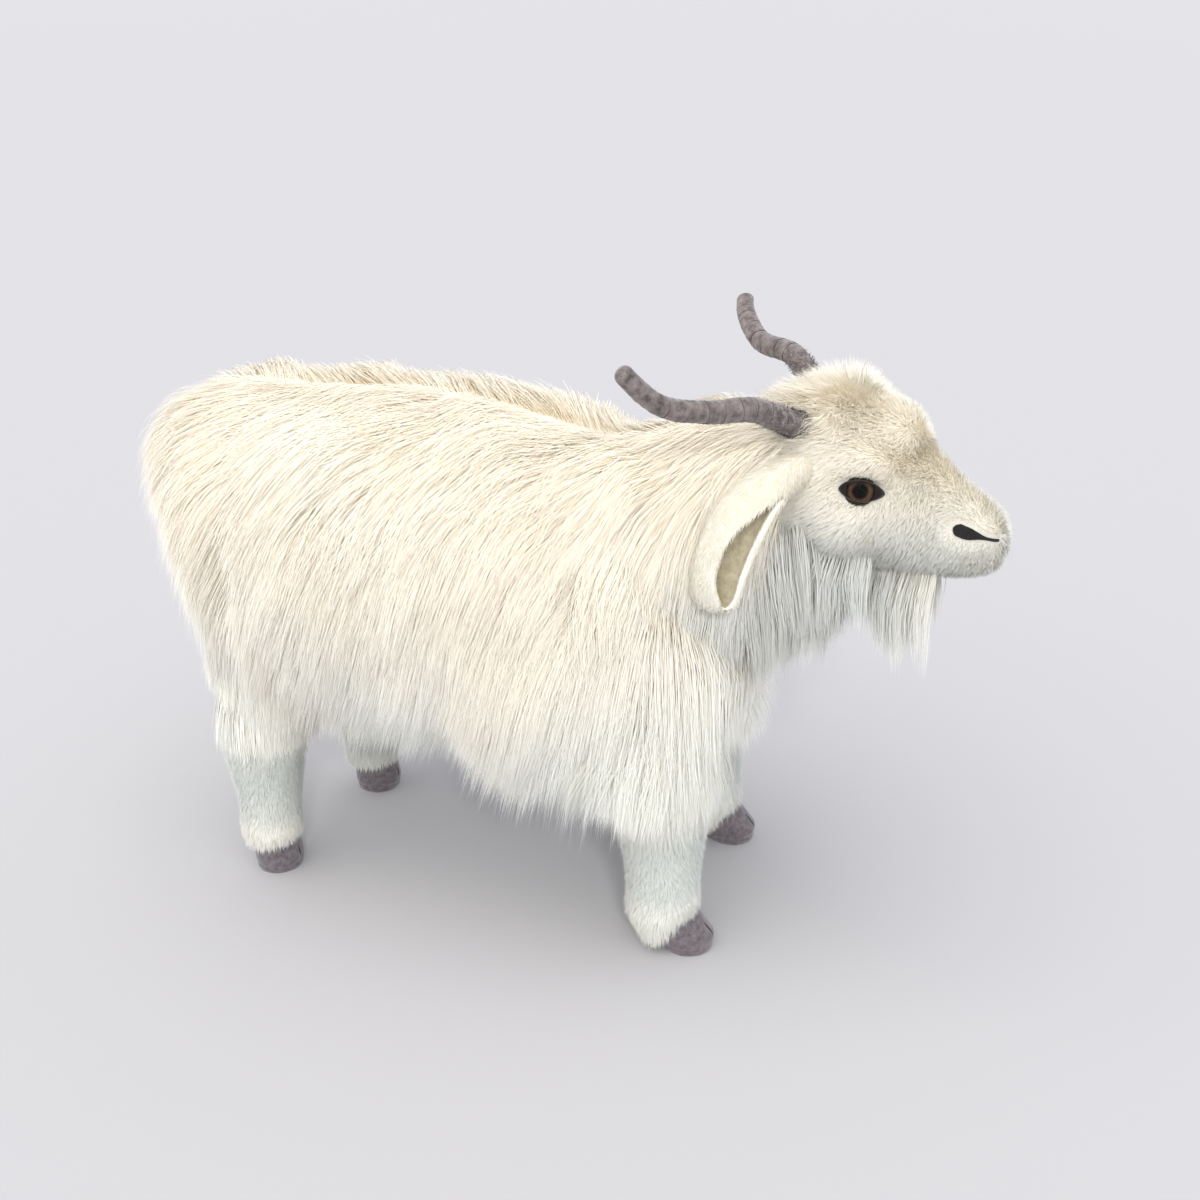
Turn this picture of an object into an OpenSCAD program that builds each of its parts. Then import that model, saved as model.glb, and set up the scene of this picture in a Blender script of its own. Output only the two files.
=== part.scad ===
// Standing long-haired plush goat, with its fabric, stuffing and wire frame as separate pieces.
// +X is the goat's forward direction, +Y its left side, +Z up, and the soles rest on z = 0.
// All lengths are in millimetres.

/* [Torso] */
// Height of the coat's top at the middle of the back
back_z = 246; // [240:1:252]
// Height of the coat's underside at the middle of the belly
belly_z = 92; // [88:1:96]
// Half of the coat's greatest width
coat_half_w = 75; // [70:1:80]
// Thickness of the long-pile coat
coat_t = 12; // [9:1:14]

/* [Neck and head] */
// Radius of the neck where it leaves the shoulders
neck_r = 38; // [35:1:39]
// Radius of the neck behind the head
neck_front_r = 33; // [30:1:34]
// Thickness of the neck's long-pile fabric
neck_coat_t = 8; // [6:1:10]
// Thickness of the short-pile face fabric
face_t = 5; // [3:0.5:6]
// Diameter of an eye lens
eye_d = 12; // [10:0.5:13]

/* [Horns] */
// Diameter of a horn near its root
horn_d = 11; // [9:0.5:12]
// Diameter of a horn just before its tip
horn_tip_d = 7.6; // [6:0.2:9]
// Number of thread rings round each horn
horn_ring_n = 6; // [3:1:8]

/* [Legs] */
// Radius of a foreleg's ball at the shoulder
fore_ball_r = 22; // [20:1:23]
// Radius of a hind leg's ball at the hip
hind_ball_r = 20; // [18:1:21]
// Radius of a foreleg above the ankle
fore_shin_r = 16.5; // [15:0.5:17.5]
// Radius of a hind leg above the ankle
hind_shin_r = 15; // [13:0.5:16]
// Height of the leg pivots above the ground
pivot_z = 100; // [98:1:102]

/* [Frame wires] */
// Diameter of the steel frame wire in the torso and neck
spine_d = 4; // [3:0.5:5]
// Diameter of the steel wire in each leg
leg_wire_d = 3; // [2.5:0.5:4]
// Diameter of the wire in each horn
horn_wire_d = 1.6; // [1:0.2:2.4]

/* [Hidden] */
// Room left round a piece set into another
gap = 0.6;
// Room left round the neck ball and the leg balls
socket_gap = 1.2;
// Room left round a leg where it passes through the belly panel
leg_hole_gap = 3;
// Room left between nested layers of one body
layer = 0.8;
// Angle left open at a seam between two fabric panels, in degrees
seam = 0.6;
// Number of sides on the lofted soft shapes
sides = 20;
// Superellipse exponent of the torso and head sections
squareness = 2.3;
white = [0.95, 0.93, 0.87];
pale = [0.90, 0.91, 0.92];
wool = [0.97, 0.97, 0.95];
grey = [0.43, 0.39, 0.40];
steel = [0.62, 0.64, 0.66];
beige = [0.70, 0.64, 0.54];
brown = [0.36, 0.25, 0.17];
black = [0.05, 0.05, 0.05];

// Where the neck bends, and where the head turns on it
neck_pivot = [62, 0, 188];
head_pivot = [122, 0, 214];
head_ball_r = 20;
neck_axis = (head_pivot - neck_pivot) / norm(head_pivot - neck_pivot);
neck_up = [-neck_axis.z, 0, neck_axis.x];
neck_len = 40;

// Torso stations from rump to chest: x, top, underside, half width
torso_rows = [
    [-190, 178, 173, 3],
    [-184, 212, 142, 24],
    [-174, 227, 118, 44],
    [-156, 237, 105, 60],
    [-122, 243, 98, 69],
    [-75, back_z, 94, 74],
    [-20, back_z, belly_z, coat_half_w],
    [25, 238, 94, 72],
    [60, 220, 98, 60],
    [84, 158, 99, 43],
    [98, 138, 104, 21],
    [101, 124, 118, 3]
];

// Head stations from nape to muzzle: x, top, underside, half width
head_rows = [
    [114, 247, 189, 26],
    [121, 254, 185, 29],
    [132, 257, 183, 30],
    [145, 254, 180, 29],
    [158, 247, 179, 26],
    [170, 234, 178.5, 20.5],
    [182, 221, 178, 17],
    [193, 212, 178, 15],
    [201, 206, 182, 11],
    [204.5, 198, 190, 4]
];

// Each leg: pivot, ankle centre, ball radius, shin radius, hoof boundary centre and tilt, sole
leg_fore_right = [[66, -38, pivot_z], [72.5, -48, 22], fore_ball_r, fore_shin_r, [76.5, -48, 12], 49, 84.6];
leg_fore_left = [[64.5, 38, pivot_z], [71, 48, 22], fore_ball_r, fore_shin_r, [75, 48, 12], 49, 83.1];
leg_hind_right = [[-131, -34, pivot_z], [-127.5, -42.5, 24], hind_ball_r, hind_shin_r,
    [-126.6, -42.5, 16.5], 12, -125.6];
leg_hind_left = [[-116, 34, pivot_z], [-112.3, 42.5, 24], hind_ball_r, hind_shin_r,
    [-111.4, 42.5, 16.5], 12, -110.4];
legs = [leg_fore_right, leg_fore_left, leg_hind_right, leg_hind_left];
function pivot(leg) = leg[0];
function ankle(leg) = leg[1];
function ball_r(leg) = leg[2];
function shin_r(leg) = leg[3];
function hoof_edge(leg) = leg[4];
function hoof_tilt(leg) = leg[5];
function sole_x(leg) = leg[6];

// Horn centrelines from inside the skull to the tip, both written as if on the left side
horn_line_left = [[121, 14, 240], [115.5, 27, 246.5], [103, 43, 254], [86, 57.2, 255], [75.5, 72.5, 262.7],
    [72.7, 81.6, 269]];
horn_line_right = [[121, 14, 240], [116, 27, 245], [103.5, 43, 254], [89, 57.5, 256], [75, 72.5, 261.5],
    [62.5, 81.6, 275.5]];
// Ear centreline on the left side, from the root to the tip
ear_path = [[120, 31.5, 220], [107, 42, 211], [101.5, 49, 191], [98, 53, 173]];
// Where an eye sits on the left side, and the way it looks
eye_centre = [145.4, 26.5, 219];
eye_out = [0.26, 0.95, 0.17];

// ---- Shape helpers ----

function unit(v) = v / norm(v);
function sgn_pow(v, p) = sign(v) * pow(abs(v), p);

// A ring of points about centre c, spread along the vectors u and v
function ring(c, u, v, n) = [for (i = [0 : n - 1]) c + u * cos(360 * i / n) + v * sin(360 * i / n)];

// One point of a torso or head section, at angle a
function section_point(row, a) =
    let (e = 2 / squareness, mid = (row[1] + row[2]) / 2, half = (row[1] - row[2]) / 2)
    [row[0], row[3] * sgn_pow(cos(a), e), mid + half * sgn_pow(sin(a), e)];

// The stations of a layer that lies deeper by t, or outside when t is negative
function inset_rows(rows, t) =
    let (first = rows[0][0], last = rows[len(rows) - 1][0], mid = (first + last) / 2, k = 1 - 2 * t / (last - first))
    [for (row = rows) [mid + (row[0] - mid) * k, max(row[1] - t, (row[1] + row[2]) / 2 + 0.8),
        min(row[2] + t, (row[1] + row[2]) / 2 - 0.8), max(row[3] - t, 0.8)]];

// A closed solid through rings of n points each
module loft(rings) {
    n = len(rings[0]);
    m = len(rings);
    points = [for (r = rings) for (p = r) p];
    walls = [for (j = [0 : m - 2]) for (i = [0 : n - 1]) let (k = (i + 1) % n)
        for (f = [[j * n + i, (j + 1) * n + k, j * n + k], [j * n + i, (j + 1) * n + i, (j + 1) * n + k]]) f];
    start = [[for (i = [0 : n - 1]) i]];
    end = [[for (i = [n - 1 : -1 : 0]) (m - 1) * n + i]];
    polyhedron(points, concat(walls, start, end), convexity = 6);
}

// A closed tube wall: outer rings one way, inner rings back again
module tube_loft(outer, inner) {
    n = len(outer[0]);
    rings = concat(outer, [for (j = [len(inner) - 1 : -1 : 0]) inner[j]]);
    m = len(rings);
    points = [for (r = rings) for (p = r) p];
    polyhedron(points, [for (j = [0 : m - 1]) for (i = [0 : n - 1])
        let (k = (i + 1) % n, q = (j + 1) % m)
        for (f = [[j * n + i, q * n + k, j * n + k], [j * n + i, q * n + i, q * n + k]]) f], convexity = 6);
}

// A panel between an outer and an inner layer, over the angles a0 to a1 of the sections
module panel(outer_rows, inner_rows, a0, a1, steps) {
    k = steps + 1;
    n = 2 * k;
    m = len(outer_rows);
    points = [for (j = [0 : m - 1]) for (i = [0 : n - 1])
        i < k ? section_point(outer_rows[j], a0 + (a1 - a0) * i / steps)
              : section_point(inner_rows[j], a1 - (a1 - a0) * (i - k) / steps)];
    // The last wall is cut along its other diagonal, so that it lies flat against its neighbour's first seam
    walls = [for (j = [0 : m - 2]) for (i = [0 : n - 1]) let (q = (i + 1) % n)
        for (f = i == n - 1
            ? [[j * n + i, (j + 1) * n + i, j * n + q], [(j + 1) * n + i, (j + 1) * n + q, j * n + q]]
            : [[j * n + i, (j + 1) * n + q, j * n + q], [j * n + i, (j + 1) * n + i, (j + 1) * n + q]]) f];
    caps = [for (i = [0 : k - 2]) for (f = [[i, i + 1, n - 2 - i], [i, n - 2 - i, n - 1 - i]]) f];
    polyhedron(points, concat(walls, caps, [for (f = caps) [for (q = [2 : -1 : 0]) (m - 1) * n + f[q]]]),
        convexity = 8);
}

module body_loft(rows) {
    loft([for (row = rows) [for (i = [0 : sides - 1]) section_point(row, 360 * i / sides)]]);
}

// A round bar from p to q
module rod(p, q, d) {
    v = q - p;
    translate(p)
        rotate([0, acos(v.z / norm(v)), atan2(v.y, v.x)])
            cylinder(h = norm(v), d = d, $fn = 24);
}

// A Catmull-Rom curve through the points of path, at t from 0 to 1
function path_at(path, t) =
    let (n = len(path) - 1, s = min(floor(t * n), n - 1), u = t * n - s,
        a = path[max(s - 1, 0)], b = path[s], c = path[s + 1], d = path[min(s + 2, n)])
    0.5 * (2 * b + (c - a) * u + (2 * a - 5 * b + 4 * c - d) * u * u + (3 * b - 3 * c + d - a) * u * u * u);
function path_dir(path, t) = unit(path_at(path, min(t + 0.02, 1)) - path_at(path, max(t - 0.02, 0)));
function mirror_y(path, side) = [for (p = path) [p.x, side * p.y, p.z]];

// ---- Torso ----

// Room for the neck ball and the four leg balls
module torso_sockets() {
    translate(neck_pivot)
        sphere(r = neck_r + socket_gap, $fn = 32);
    for (leg = legs)
        translate(pivot(leg))
            sphere(r = ball_r(leg) + socket_gap, $fn = 32);
}

module coat_panel(a0, a1, steps) {
    difference() {
        panel(torso_rows, inset_rows(torso_rows, coat_t), a0, a1, steps);
        torso_sockets();
    }
}

module coat_left() { color(white) coat_panel(-54, 90, 8); }
module coat_right() { color(white) coat_panel(90, 234, 8); }

// Gusset under the belly, cut out round the top of each leg
module belly_panel() {
    color(pale)
        difference() {
            panel(torso_rows, inset_rows(torso_rows, coat_t), 234 + seam, 306 - seam, 4);
            for (leg = legs)
                translate([pivot(leg).x, pivot(leg).y, pivot_z - 30])
                    cylinder(h = 30 + ball_r(leg), r = ball_r(leg) + leg_hole_gap, $fn = 48);
        }
}

module torso_stuffing() {
    color(wool)
        difference() {
            body_loft(inset_rows(torso_rows, coat_t + layer));
            torso_sockets();
        }
}

// Spine wire with a cross bar at the shoulders and at the hips
module spine_frame() {
    hip_x = (pivot(leg_hind_right).x + pivot(leg_hind_left).x) / 2;
    shoulder_x = 22;
    bar_z = 160;
    color(steel) {
        rod([hip_x, 0, bar_z], [shoulder_x, 0, bar_z], spine_d);
        for (x = [hip_x, shoulder_x])
            rod([x, -34, bar_z], [x, 34, bar_z], spine_d);
    }
}

// Thread bars that close the belly seam
module closing_stitches() {
    color(pale)
        for (i = [0 : 8])
            rod([-60 + 9 * i, -3, belly_z + 1], [-57 + 9 * i, 3, belly_z + 1], 1);
}

// ---- Tail ----

module tail() {
    rows = [[207, -194.5, 2.5, 4], [198, -197.5, 5, 9], [183, -198.8, 5.7, 10], [168, -199.8, 4, 7],
        [160, -200.4, 1.5, 3]];
    color(white)
        loft([for (r = rows) ring([r[1], 0, r[0]], [-r[2], 0, 0], [0, r[3], 0], 12)]);
}

// ---- Neck ----

// Rings of the neck: a ball at the pivot that runs into a tapering tube
function neck_rings(r0, r1, back, front) =
    [for (i = [0 : 9])
        let (d = back + (front - back) * i / 9,
            taper = r0 + (r1 - r0) * max(d, 0) / neck_len,
            r = d < 0 ? sqrt(max(r0 * r0 - d * d, 4)) : taper)
        ring(neck_pivot + neck_axis * d, neck_up * r, [0, r, 0], sides)];

module neck_coat() {
    color(white)
        tube_loft(neck_rings(neck_r, neck_front_r, -neck_r * 0.6, neck_len),
            neck_rings(neck_r - neck_coat_t, neck_front_r - neck_coat_t, -neck_r * 0.55, neck_len - 0.5));
}

module neck_stuffing() {
    t = neck_coat_t + layer;
    color(wool)
        loft(neck_rings(neck_r - t - 1, neck_front_r - t - 0.4, -neck_r * 0.5, neck_len - 1));
}

module neck_wire() {
    color(steel)
        rod(neck_pivot - neck_axis * 12, neck_pivot + neck_axis * (neck_len - 1.5), spine_d);
}

// Long-pile gusset under the throat
module throat_mane() {
    rows = [[176, 113, 11, 15], [170, 118, 15, 17], [158, 121, 13, 14], [146, 126, 8, 9], [138, 130, 2.5, 3]];
    color(pale)
        loft([for (r = rows) ring([r[1], 0, r[0]], [-r[2], 0, 0], [0, r[3], 0], 14)]);
}

// ---- Head ----

// A side of the face, with the hole that its eye is set in
module face_side(side, a0, a1) {
    color(white)
        difference() {
            panel(head_rows, inset_rows(head_rows, face_t), a0, a1, 9);
            at_eye(side)
                translate([0, 0, -9])
                    cylinder(h = 20, d = eye_d + 3.6 + gap, $fn = 64);
        }
}

module face_left() { face_side(1, -90, 62); }
module face_right() { face_side(-1, 118, 270); }
module forehead_gusset() { color(white) panel(head_rows, inset_rows(head_rows, face_t), 62 + seam, 118 - seam, 4); }

module head_stuffing() {
    color(wool)
        union() {
            body_loft(inset_rows(head_rows, face_t + layer));
            translate(head_pivot)
                sphere(r = head_ball_r, $fn = 32);
        }
}

// Longer pile between the horns, laid over the forehead
module crown_tuft() {
    rows = [for (i = [0 : 4]) head_rows[i]];
    outer = [for (i = [0 : 4]) [rows[i][0], rows[i][1] + [3, 5, 5.5, 4, 1.5][i], rows[i][2], rows[i][3] + 3]];
    inner = [for (row = rows) [row[0], row[1] + layer, row[2], row[3] + layer]];
    color(white)
        panel(outer, inner, 48, 132, 6);
}

module beard() {
    rows = [[177.4, 167, 17, 8], [162, 170, 13, 7], [143, 174.5, 7.5, 5], [127, 178, 2, 2]];
    color(pale)
        loft([for (r = rows) ring([r[1], 0, r[0]], [-r[2], 0, 0], [0, r[3], 0], 12)]);
}

// Satin stitch slits of the nostrils
module nostril_stitches() {
    color(black)
        for (side = [-1, 1])
            rod([184, side * 16.3, 202], [199.5, side * 12, 198.5], 2.4);
}

// Thread along the mouth, under the front of the muzzle
module mouth_stitch() {
    color(beige)
        for (side = [-1, 1])
            rod([204, side * 1.5, 187], [194, side * 14.2, 185], 1);
}

// Places a turned shape at an eye, with its axis pointing out of the head
module at_eye(side) {
    out = unit([eye_out.x, side * eye_out.y, eye_out.z]);
    translate([eye_centre.x, side * eye_centre.y, eye_centre.z])
        rotate([0, acos(out.z), atan2(out.y, out.x)])
            children();
}

// Clear domed lens
module eye_lens(side) {
    cap_h = eye_d * 0.3;
    cap_r = (eye_d * eye_d / 4 + cap_h * cap_h) / (2 * cap_h);
    color([0.8, 0.85, 0.9, 0.4])
        at_eye(side)
            intersection() {
                translate([0, 0, 1 + cap_h - cap_r])
                    sphere(r = cap_r, $fn = 64);
                translate([0, 0, 1])
                    cylinder(h = cap_h + 1, d = eye_d, $fn = 64);
            }
}

// Painted disc behind the lens
module eye_iris(side) {
    color(brown)
        at_eye(side)
            translate([0, 0, 0.2])
                cylinder(h = 0.8, d = eye_d - 0.6, $fn = 64);
}

// Black cup and shank of each eye
module eye_posts() {
    color(black)
        for (side = [-1, 1])
            at_eye(side) {
                translate([0, 0, -1.3])
                    cylinder(h = 1.5, d = eye_d + 0.8, $fn = 64);
                translate([0, 0, -12])
                    cylinder(h = 10.7, d = 3.6, $fn = 32);
            }
}

// Star washers that lock each shank behind the face fabric
module eye_washers() {
    color(wool)
        for (side = [-1, 1])
            at_eye(side)
                translate([0, 0, -8])
                    difference() {
                        cylinder(h = 1.2, d = 13, $fn = 48);
                        translate([0, 0, -1])
                            cylinder(h = 4, d = 3.6, $fn = 32);
                    }
}

// Almond rim of dark fabric round each lens
module eyelid(side) {
    color(brown)
        at_eye(side)
            difference() {
                translate([0, 0, -1.2])
                    cylinder(h = 2.6, d = eye_d + 3.6, $fn = 64);
                translate([0, 0, -2])
                    cylinder(h = 6, d = eye_d + 1, $fn = 64);
            }
}

// ---- Horns ----

function horn_line(side) = mirror_y(side > 0 ? horn_line_left : horn_line_right, side);

function horn_radius(t) =
    t > 0.97 ? horn_tip_d * 0.28 : t > 0.9 ? horn_tip_d * 0.46
    : (horn_d + (horn_tip_d - horn_d) * pow(t, 1.6)) / 2;

function sweep_ring(path, t, r, n) =
    let (dir = path_dir(path, t), u = unit(cross(dir, [0, 0, 1])), v = cross(dir, u))
    ring(path_at(path, t), u * r, v * r, n);

module horn_cover(side) {
    path = horn_line(side);
    color(grey)
        loft([for (i = [0 : 15]) sweep_ring(path, i / 15, horn_radius(i / 15), 10)]);
}

module horn_wire(side) {
    path = horn_line(side);
    color(steel)
        loft([for (i = [0 : 10]) sweep_ring(path, i * 0.09, horn_wire_d / 2, 6)]);
}

// Thread rings pulled round the horn
module horn_rings(side) {
    path = horn_line(side);
    color(black)
        for (i = [1 : horn_ring_n]) {
            t = 0.2 + 0.68 * (i - 0.5) / horn_ring_n;
            dir = path_dir(path, t);
            translate(path_at(path, t))
                rotate([0, acos(dir.z), atan2(dir.y, dir.x)])
                    rotate_extrude($fn = 32)
                        translate([horn_radius(t) + 0.1, 0])
                            circle(d = 0.5, $fn = 16);
        }
}

// ---- Ears ----

// A leaf-shaped slab along the ear, between two depths measured outward from its centreline
module ear_layer(side, depth_in, depth_out, width_k) {
    path = mirror_y(ear_path, side);
    mid = (depth_in + depth_out) / 2;
    half = (depth_out - depth_in) / 2;
    loft([for (i = [0 : 9])
        let (t = i / 9,
            dir = path_dir(path, t),
            out = unit([0, side, 0] - dir * (dir * [0, side, 0])),
            wide = cross(dir, out),
            w = (7 + 3.8 * sin(180 * min(t * 1.05, 1)) - 3.5 * pow(t, 6)) * width_k)
        ring(path_at(path, t) + out * mid, wide * w * side, out * half * side, 12)]);
}

module ear_back(side) { color(white) ear_layer(side, -2.2, 0.6, 1); }
module ear_lining(side) { color(beige) ear_layer(side, 1, 2.5, 0.82); }

// ---- Legs ----

// Centre of a leg at height z: it slants from the ankle to the pivot, and is upright above the pivot
function leg_at(leg, z) =
    let (t = (z - ankle(leg).z) / (pivot(leg).z - ankle(leg).z))
    ankle(leg) + (pivot(leg) - ankle(leg)) * min(t, 1) + [0, 0, max(z - pivot(leg).z, 0)];
function leg_ring(leg, z, r) = ring(leg_at(leg, z), [-r, 0, 0], [0, r, 0], sides);
function boundary_ring(leg, r, back) =
    let (a = hoof_tilt(leg), slope = [cos(a), 0, sin(a)], ahead = [sin(a), 0, -cos(a)])
    ring(hoof_edge(leg) - ahead * back, -slope * r, [0, r * 0.97, 0], sides);
function boundary_r(leg) = shin_r(leg) - 4;

// Long-pile upper sleeve: a ball at the pivot that flares down to a shaggy hem
module leg_cuff(leg) {
    ball = ball_r(leg);
    rows = [[0.92, 0.38], [0.75, 0.66], [0.45, 0.89], [0, 1], [-0.5, 1.0], [-1.1, 1.14], [-1.7, 1.25]];
    t = 6;
    color(white)
        tube_loft([for (r = rows) leg_ring(leg, pivot_z + ball * r[0], ball * r[1])],
            [for (r = rows) leg_ring(leg, pivot_z + ball * r[0] - (r[0] > 0 ? 2.5 * r[0] : 0),
                max(ball * r[1] - t, 2.5))]);
}

// Stuffing of the whole leg, from the pivot to the ankle
module leg_stuffing(leg) {
    ball = ball_r(leg) - 6 - layer;
    shin = shin_r(leg) - 3 - layer;
    rows = [[pivot_z + ball * 0.72, ball * 0.45], [pivot_z + ball * 0.4, ball * 0.8], [pivot_z, ball - 0.6],
        [pivot_z - 22, ball - 0.6], [pivot_z - 30, shin], [40, shin], [ankle(leg).z + 2, shin - 1.5]];
    color(wool)
        loft(concat([for (r = rows) leg_ring(leg, r[0], r[1])], [boundary_ring(leg, boundary_r(leg) - 4, 1)]));
}

// Short-pile lower sleeve, from inside the cuff to the slanted edge of the hoof
module leg_sleeve(leg) {
    shin = shin_r(leg);
    top = pivot_z - 31;
    rows = [[top, shin + 1.2], [50, shin + 1.2], [36, shin + 0.3], [ankle(leg).z + 2, shin]];
    color(white)
        tube_loft(concat([for (r = rows) leg_ring(leg, r[0], r[1])], [boundary_ring(leg, boundary_r(leg), 0.4)]),
            concat([for (r = rows) leg_ring(leg, r[0] - 0.2, shin - 3)],
                [boundary_ring(leg, boundary_r(leg) - 3, 0.6)]));
}

// Steel wire from the pivot down the leg, ending in an open loop that lies in the hoof
module leg_wire(leg) {
    toe = [sole_x(leg), ankle(leg).y, 7];
    loop_r = 5;
    turns = [for (i = [0 : 9]) toe + loop_r * [cos(180 + 34 * i), sin(180 + 34 * i), 0]];
    path = concat([pivot(leg), leg_at(leg, 60), leg_at(leg, ankle(leg).z + 4)], turns);
    last = len(path) - 1;
    color(steel)
        loft([for (i = [0 : last])
            let (dir = unit(path[min(i + 1, last)] - path[max(i - 1, 0)]),
                u = unit(i < 3 ? cross(dir, [0, 1, 0]) : cross([0, 0, 1], dir)),
                v = cross(dir, u))
            ring(path[i], u * leg_wire_d / 2, v * leg_wire_d / 2, 8)]);
}

// Hoof of grey cloth: a flat sole and a rounded toe under the slanted sleeve edge
module leg_hoof(leg) {
    a = hoof_tilt(leg);
    sole = [sole_x(leg), ankle(leg).y, 0];
    color(grey)
        hull() {
            translate(sole)
                cylinder(h = 0.8, r = 10.8, $fn = 32);
            translate(sole + [0, 0, 5])
                cylinder(h = 2, r = 11.8, $fn = 32);
            translate(hoof_edge(leg))
                rotate([0, 180 - a, 0])
                    cylinder(h = 0.6, r = boundary_r(leg), $fn = 32);
        }
}

// ---- Nodes ----

coat_left();
coat_right();
belly_panel();
torso_stuffing();
spine_frame();
closing_stitches();
tail();
neck_coat();
neck_stuffing();
neck_wire();
throat_mane();
face_left();
face_right();
forehead_gusset();
head_stuffing();
crown_tuft();
beard();
nostril_stitches();
mouth_stitch();
eye_lens(1);  // eye_lens_left
eye_lens(-1);  // eye_lens_right
eye_iris(1);  // eye_iris_left
eye_iris(-1);  // eye_iris_right
eye_posts();
eye_washers();
eyelid(1);  // eyelid_left
eyelid(-1);  // eyelid_right
horn_cover(1);  // horn_cover_left
horn_cover(-1);  // horn_cover_right
horn_wire(1);  // horn_wire_left
horn_wire(-1);  // horn_wire_right
horn_rings(1);  // horn_rings_left
horn_rings(-1);  // horn_rings_right
ear_back(1);  // ear_back_left
ear_back(-1);  // ear_back_right
ear_lining(1);  // ear_lining_left
ear_lining(-1);  // ear_lining_right
leg_cuff(leg_fore_right);  // foreleg_right_cuff
leg_sleeve(leg_fore_right);  // foreleg_right_sleeve
leg_stuffing(leg_fore_right);  // foreleg_right_stuffing
leg_wire(leg_fore_right);  // foreleg_right_wire
leg_hoof(leg_fore_right);  // foreleg_right_hoof
leg_cuff(leg_fore_left);  // foreleg_left_cuff
leg_sleeve(leg_fore_left);  // foreleg_left_sleeve
leg_stuffing(leg_fore_left);  // foreleg_left_stuffing
leg_wire(leg_fore_left);  // foreleg_left_wire
leg_hoof(leg_fore_left);  // foreleg_left_hoof
leg_cuff(leg_hind_right);  // hindleg_right_cuff
leg_sleeve(leg_hind_right);  // hindleg_right_sleeve
leg_stuffing(leg_hind_right);  // hindleg_right_stuffing
leg_wire(leg_hind_right);  // hindleg_right_wire
leg_hoof(leg_hind_right);  // hindleg_right_hoof
leg_cuff(leg_hind_left);  // hindleg_left_cuff
leg_sleeve(leg_hind_left);  // hindleg_left_sleeve
leg_stuffing(leg_hind_left);  // hindleg_left_stuffing
leg_wire(leg_hind_left);  // hindleg_left_wire
leg_hoof(leg_hind_left);  // hindleg_left_hoof
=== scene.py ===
"""Looks of the standing long-haired plush goat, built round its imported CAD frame.

Shapes are worked out in millimetres, with +X forward, +Y left and +Z up, and become metres in mesh_object().
"""

import math

import bpy
import numpy as np
from mathutils import Matrix, Vector
from mathutils.bvhtree import BVHTree
from mathutils.kdtree import KDTree


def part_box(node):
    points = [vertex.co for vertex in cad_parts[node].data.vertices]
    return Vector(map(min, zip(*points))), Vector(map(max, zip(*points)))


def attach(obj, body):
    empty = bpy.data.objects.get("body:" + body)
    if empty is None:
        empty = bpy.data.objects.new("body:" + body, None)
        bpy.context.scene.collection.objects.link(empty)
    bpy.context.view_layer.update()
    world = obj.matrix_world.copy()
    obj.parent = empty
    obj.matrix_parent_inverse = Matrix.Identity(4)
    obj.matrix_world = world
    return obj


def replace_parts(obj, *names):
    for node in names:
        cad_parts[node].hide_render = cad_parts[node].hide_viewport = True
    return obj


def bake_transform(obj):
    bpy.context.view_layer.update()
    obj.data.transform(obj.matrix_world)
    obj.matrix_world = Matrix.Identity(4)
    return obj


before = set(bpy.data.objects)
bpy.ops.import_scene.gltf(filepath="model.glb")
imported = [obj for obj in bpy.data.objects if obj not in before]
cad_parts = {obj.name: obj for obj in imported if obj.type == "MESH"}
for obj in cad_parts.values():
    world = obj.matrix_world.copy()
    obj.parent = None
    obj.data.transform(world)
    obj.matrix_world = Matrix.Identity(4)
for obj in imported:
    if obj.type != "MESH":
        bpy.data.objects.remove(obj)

MM = 0.001
DOWN = np.array([0.0, 0.0, -1.0])
WHITE = (1, 1, 1, 1)
COAT_LIGHT = 0.85        # share of a hair's shading that comes from the lie of the whole coat
WIDEST = 82              # half width in mm past which hair is drawn in
SLACK = 12               # how far in mm drawn-in hair may still stand out
CLOTH = 1.5              # thickness in mm of the pile's backing cloth
FILL_GAP = 2.2           # how deep in mm the stuffing's surface lies
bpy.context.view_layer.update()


def place(node):
    """(lowest corner, highest corner, middle) of a CAD node, in millimetres."""
    lo, hi = (np.array(c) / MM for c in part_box(node))
    return lo, hi, (lo + hi) / 2


# ---------------------------------------------------------------- small maths

def unit(v):
    return v / np.maximum(np.linalg.norm(v, axis=-1, keepdims=True), 1e-9)


def curve(points, t):
    """The Catmull-Rom curve through the rows of points, at each t from 0 to 1."""
    p = np.asarray(points, float)
    n = len(p) - 1
    s = np.clip(np.asarray(t, float) * n, 0, n - 1e-9)
    i = s.astype(int)
    u = (s - i)[..., None]
    a, b, c, d = p[np.maximum(i - 1, 0)], p[i], p[i + 1], p[np.minimum(i + 2, n)]
    return 0.5 * (2 * b + (c - a) * u + (2 * a - 5 * b + 4 * c - d) * u ** 2
                  + (3 * b - 3 * c + d - a) * u ** 3)


def directions(points):
    """Unit tangents along a row of points."""
    return unit(np.gradient(points, axis=0))


def step(x, lo, hi):
    """0 below lo, 1 above hi, and smooth between."""
    t = np.clip((x - lo) / (hi - lo), 0, 1)
    return t * t * (3 - 2 * t)


def ways(p, x, y, z):
    """A direction for each point, from numbers or rows of numbers."""
    return np.stack([np.broadcast_to(np.asarray(c, float), len(p)) for c in (x, y, z)], 1)


def drift(p, rng, size):
    """A slow random vector field: each point's value changes over about size millimetres."""
    out = np.zeros_like(p)
    for _ in range(4):
        k = rng.normal(0, 1.6 / size, (3, 3))
        phase = rng.random(3) * 2 * math.pi
        out += np.sin(p @ k + phase)
    return out / 2.5


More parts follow.
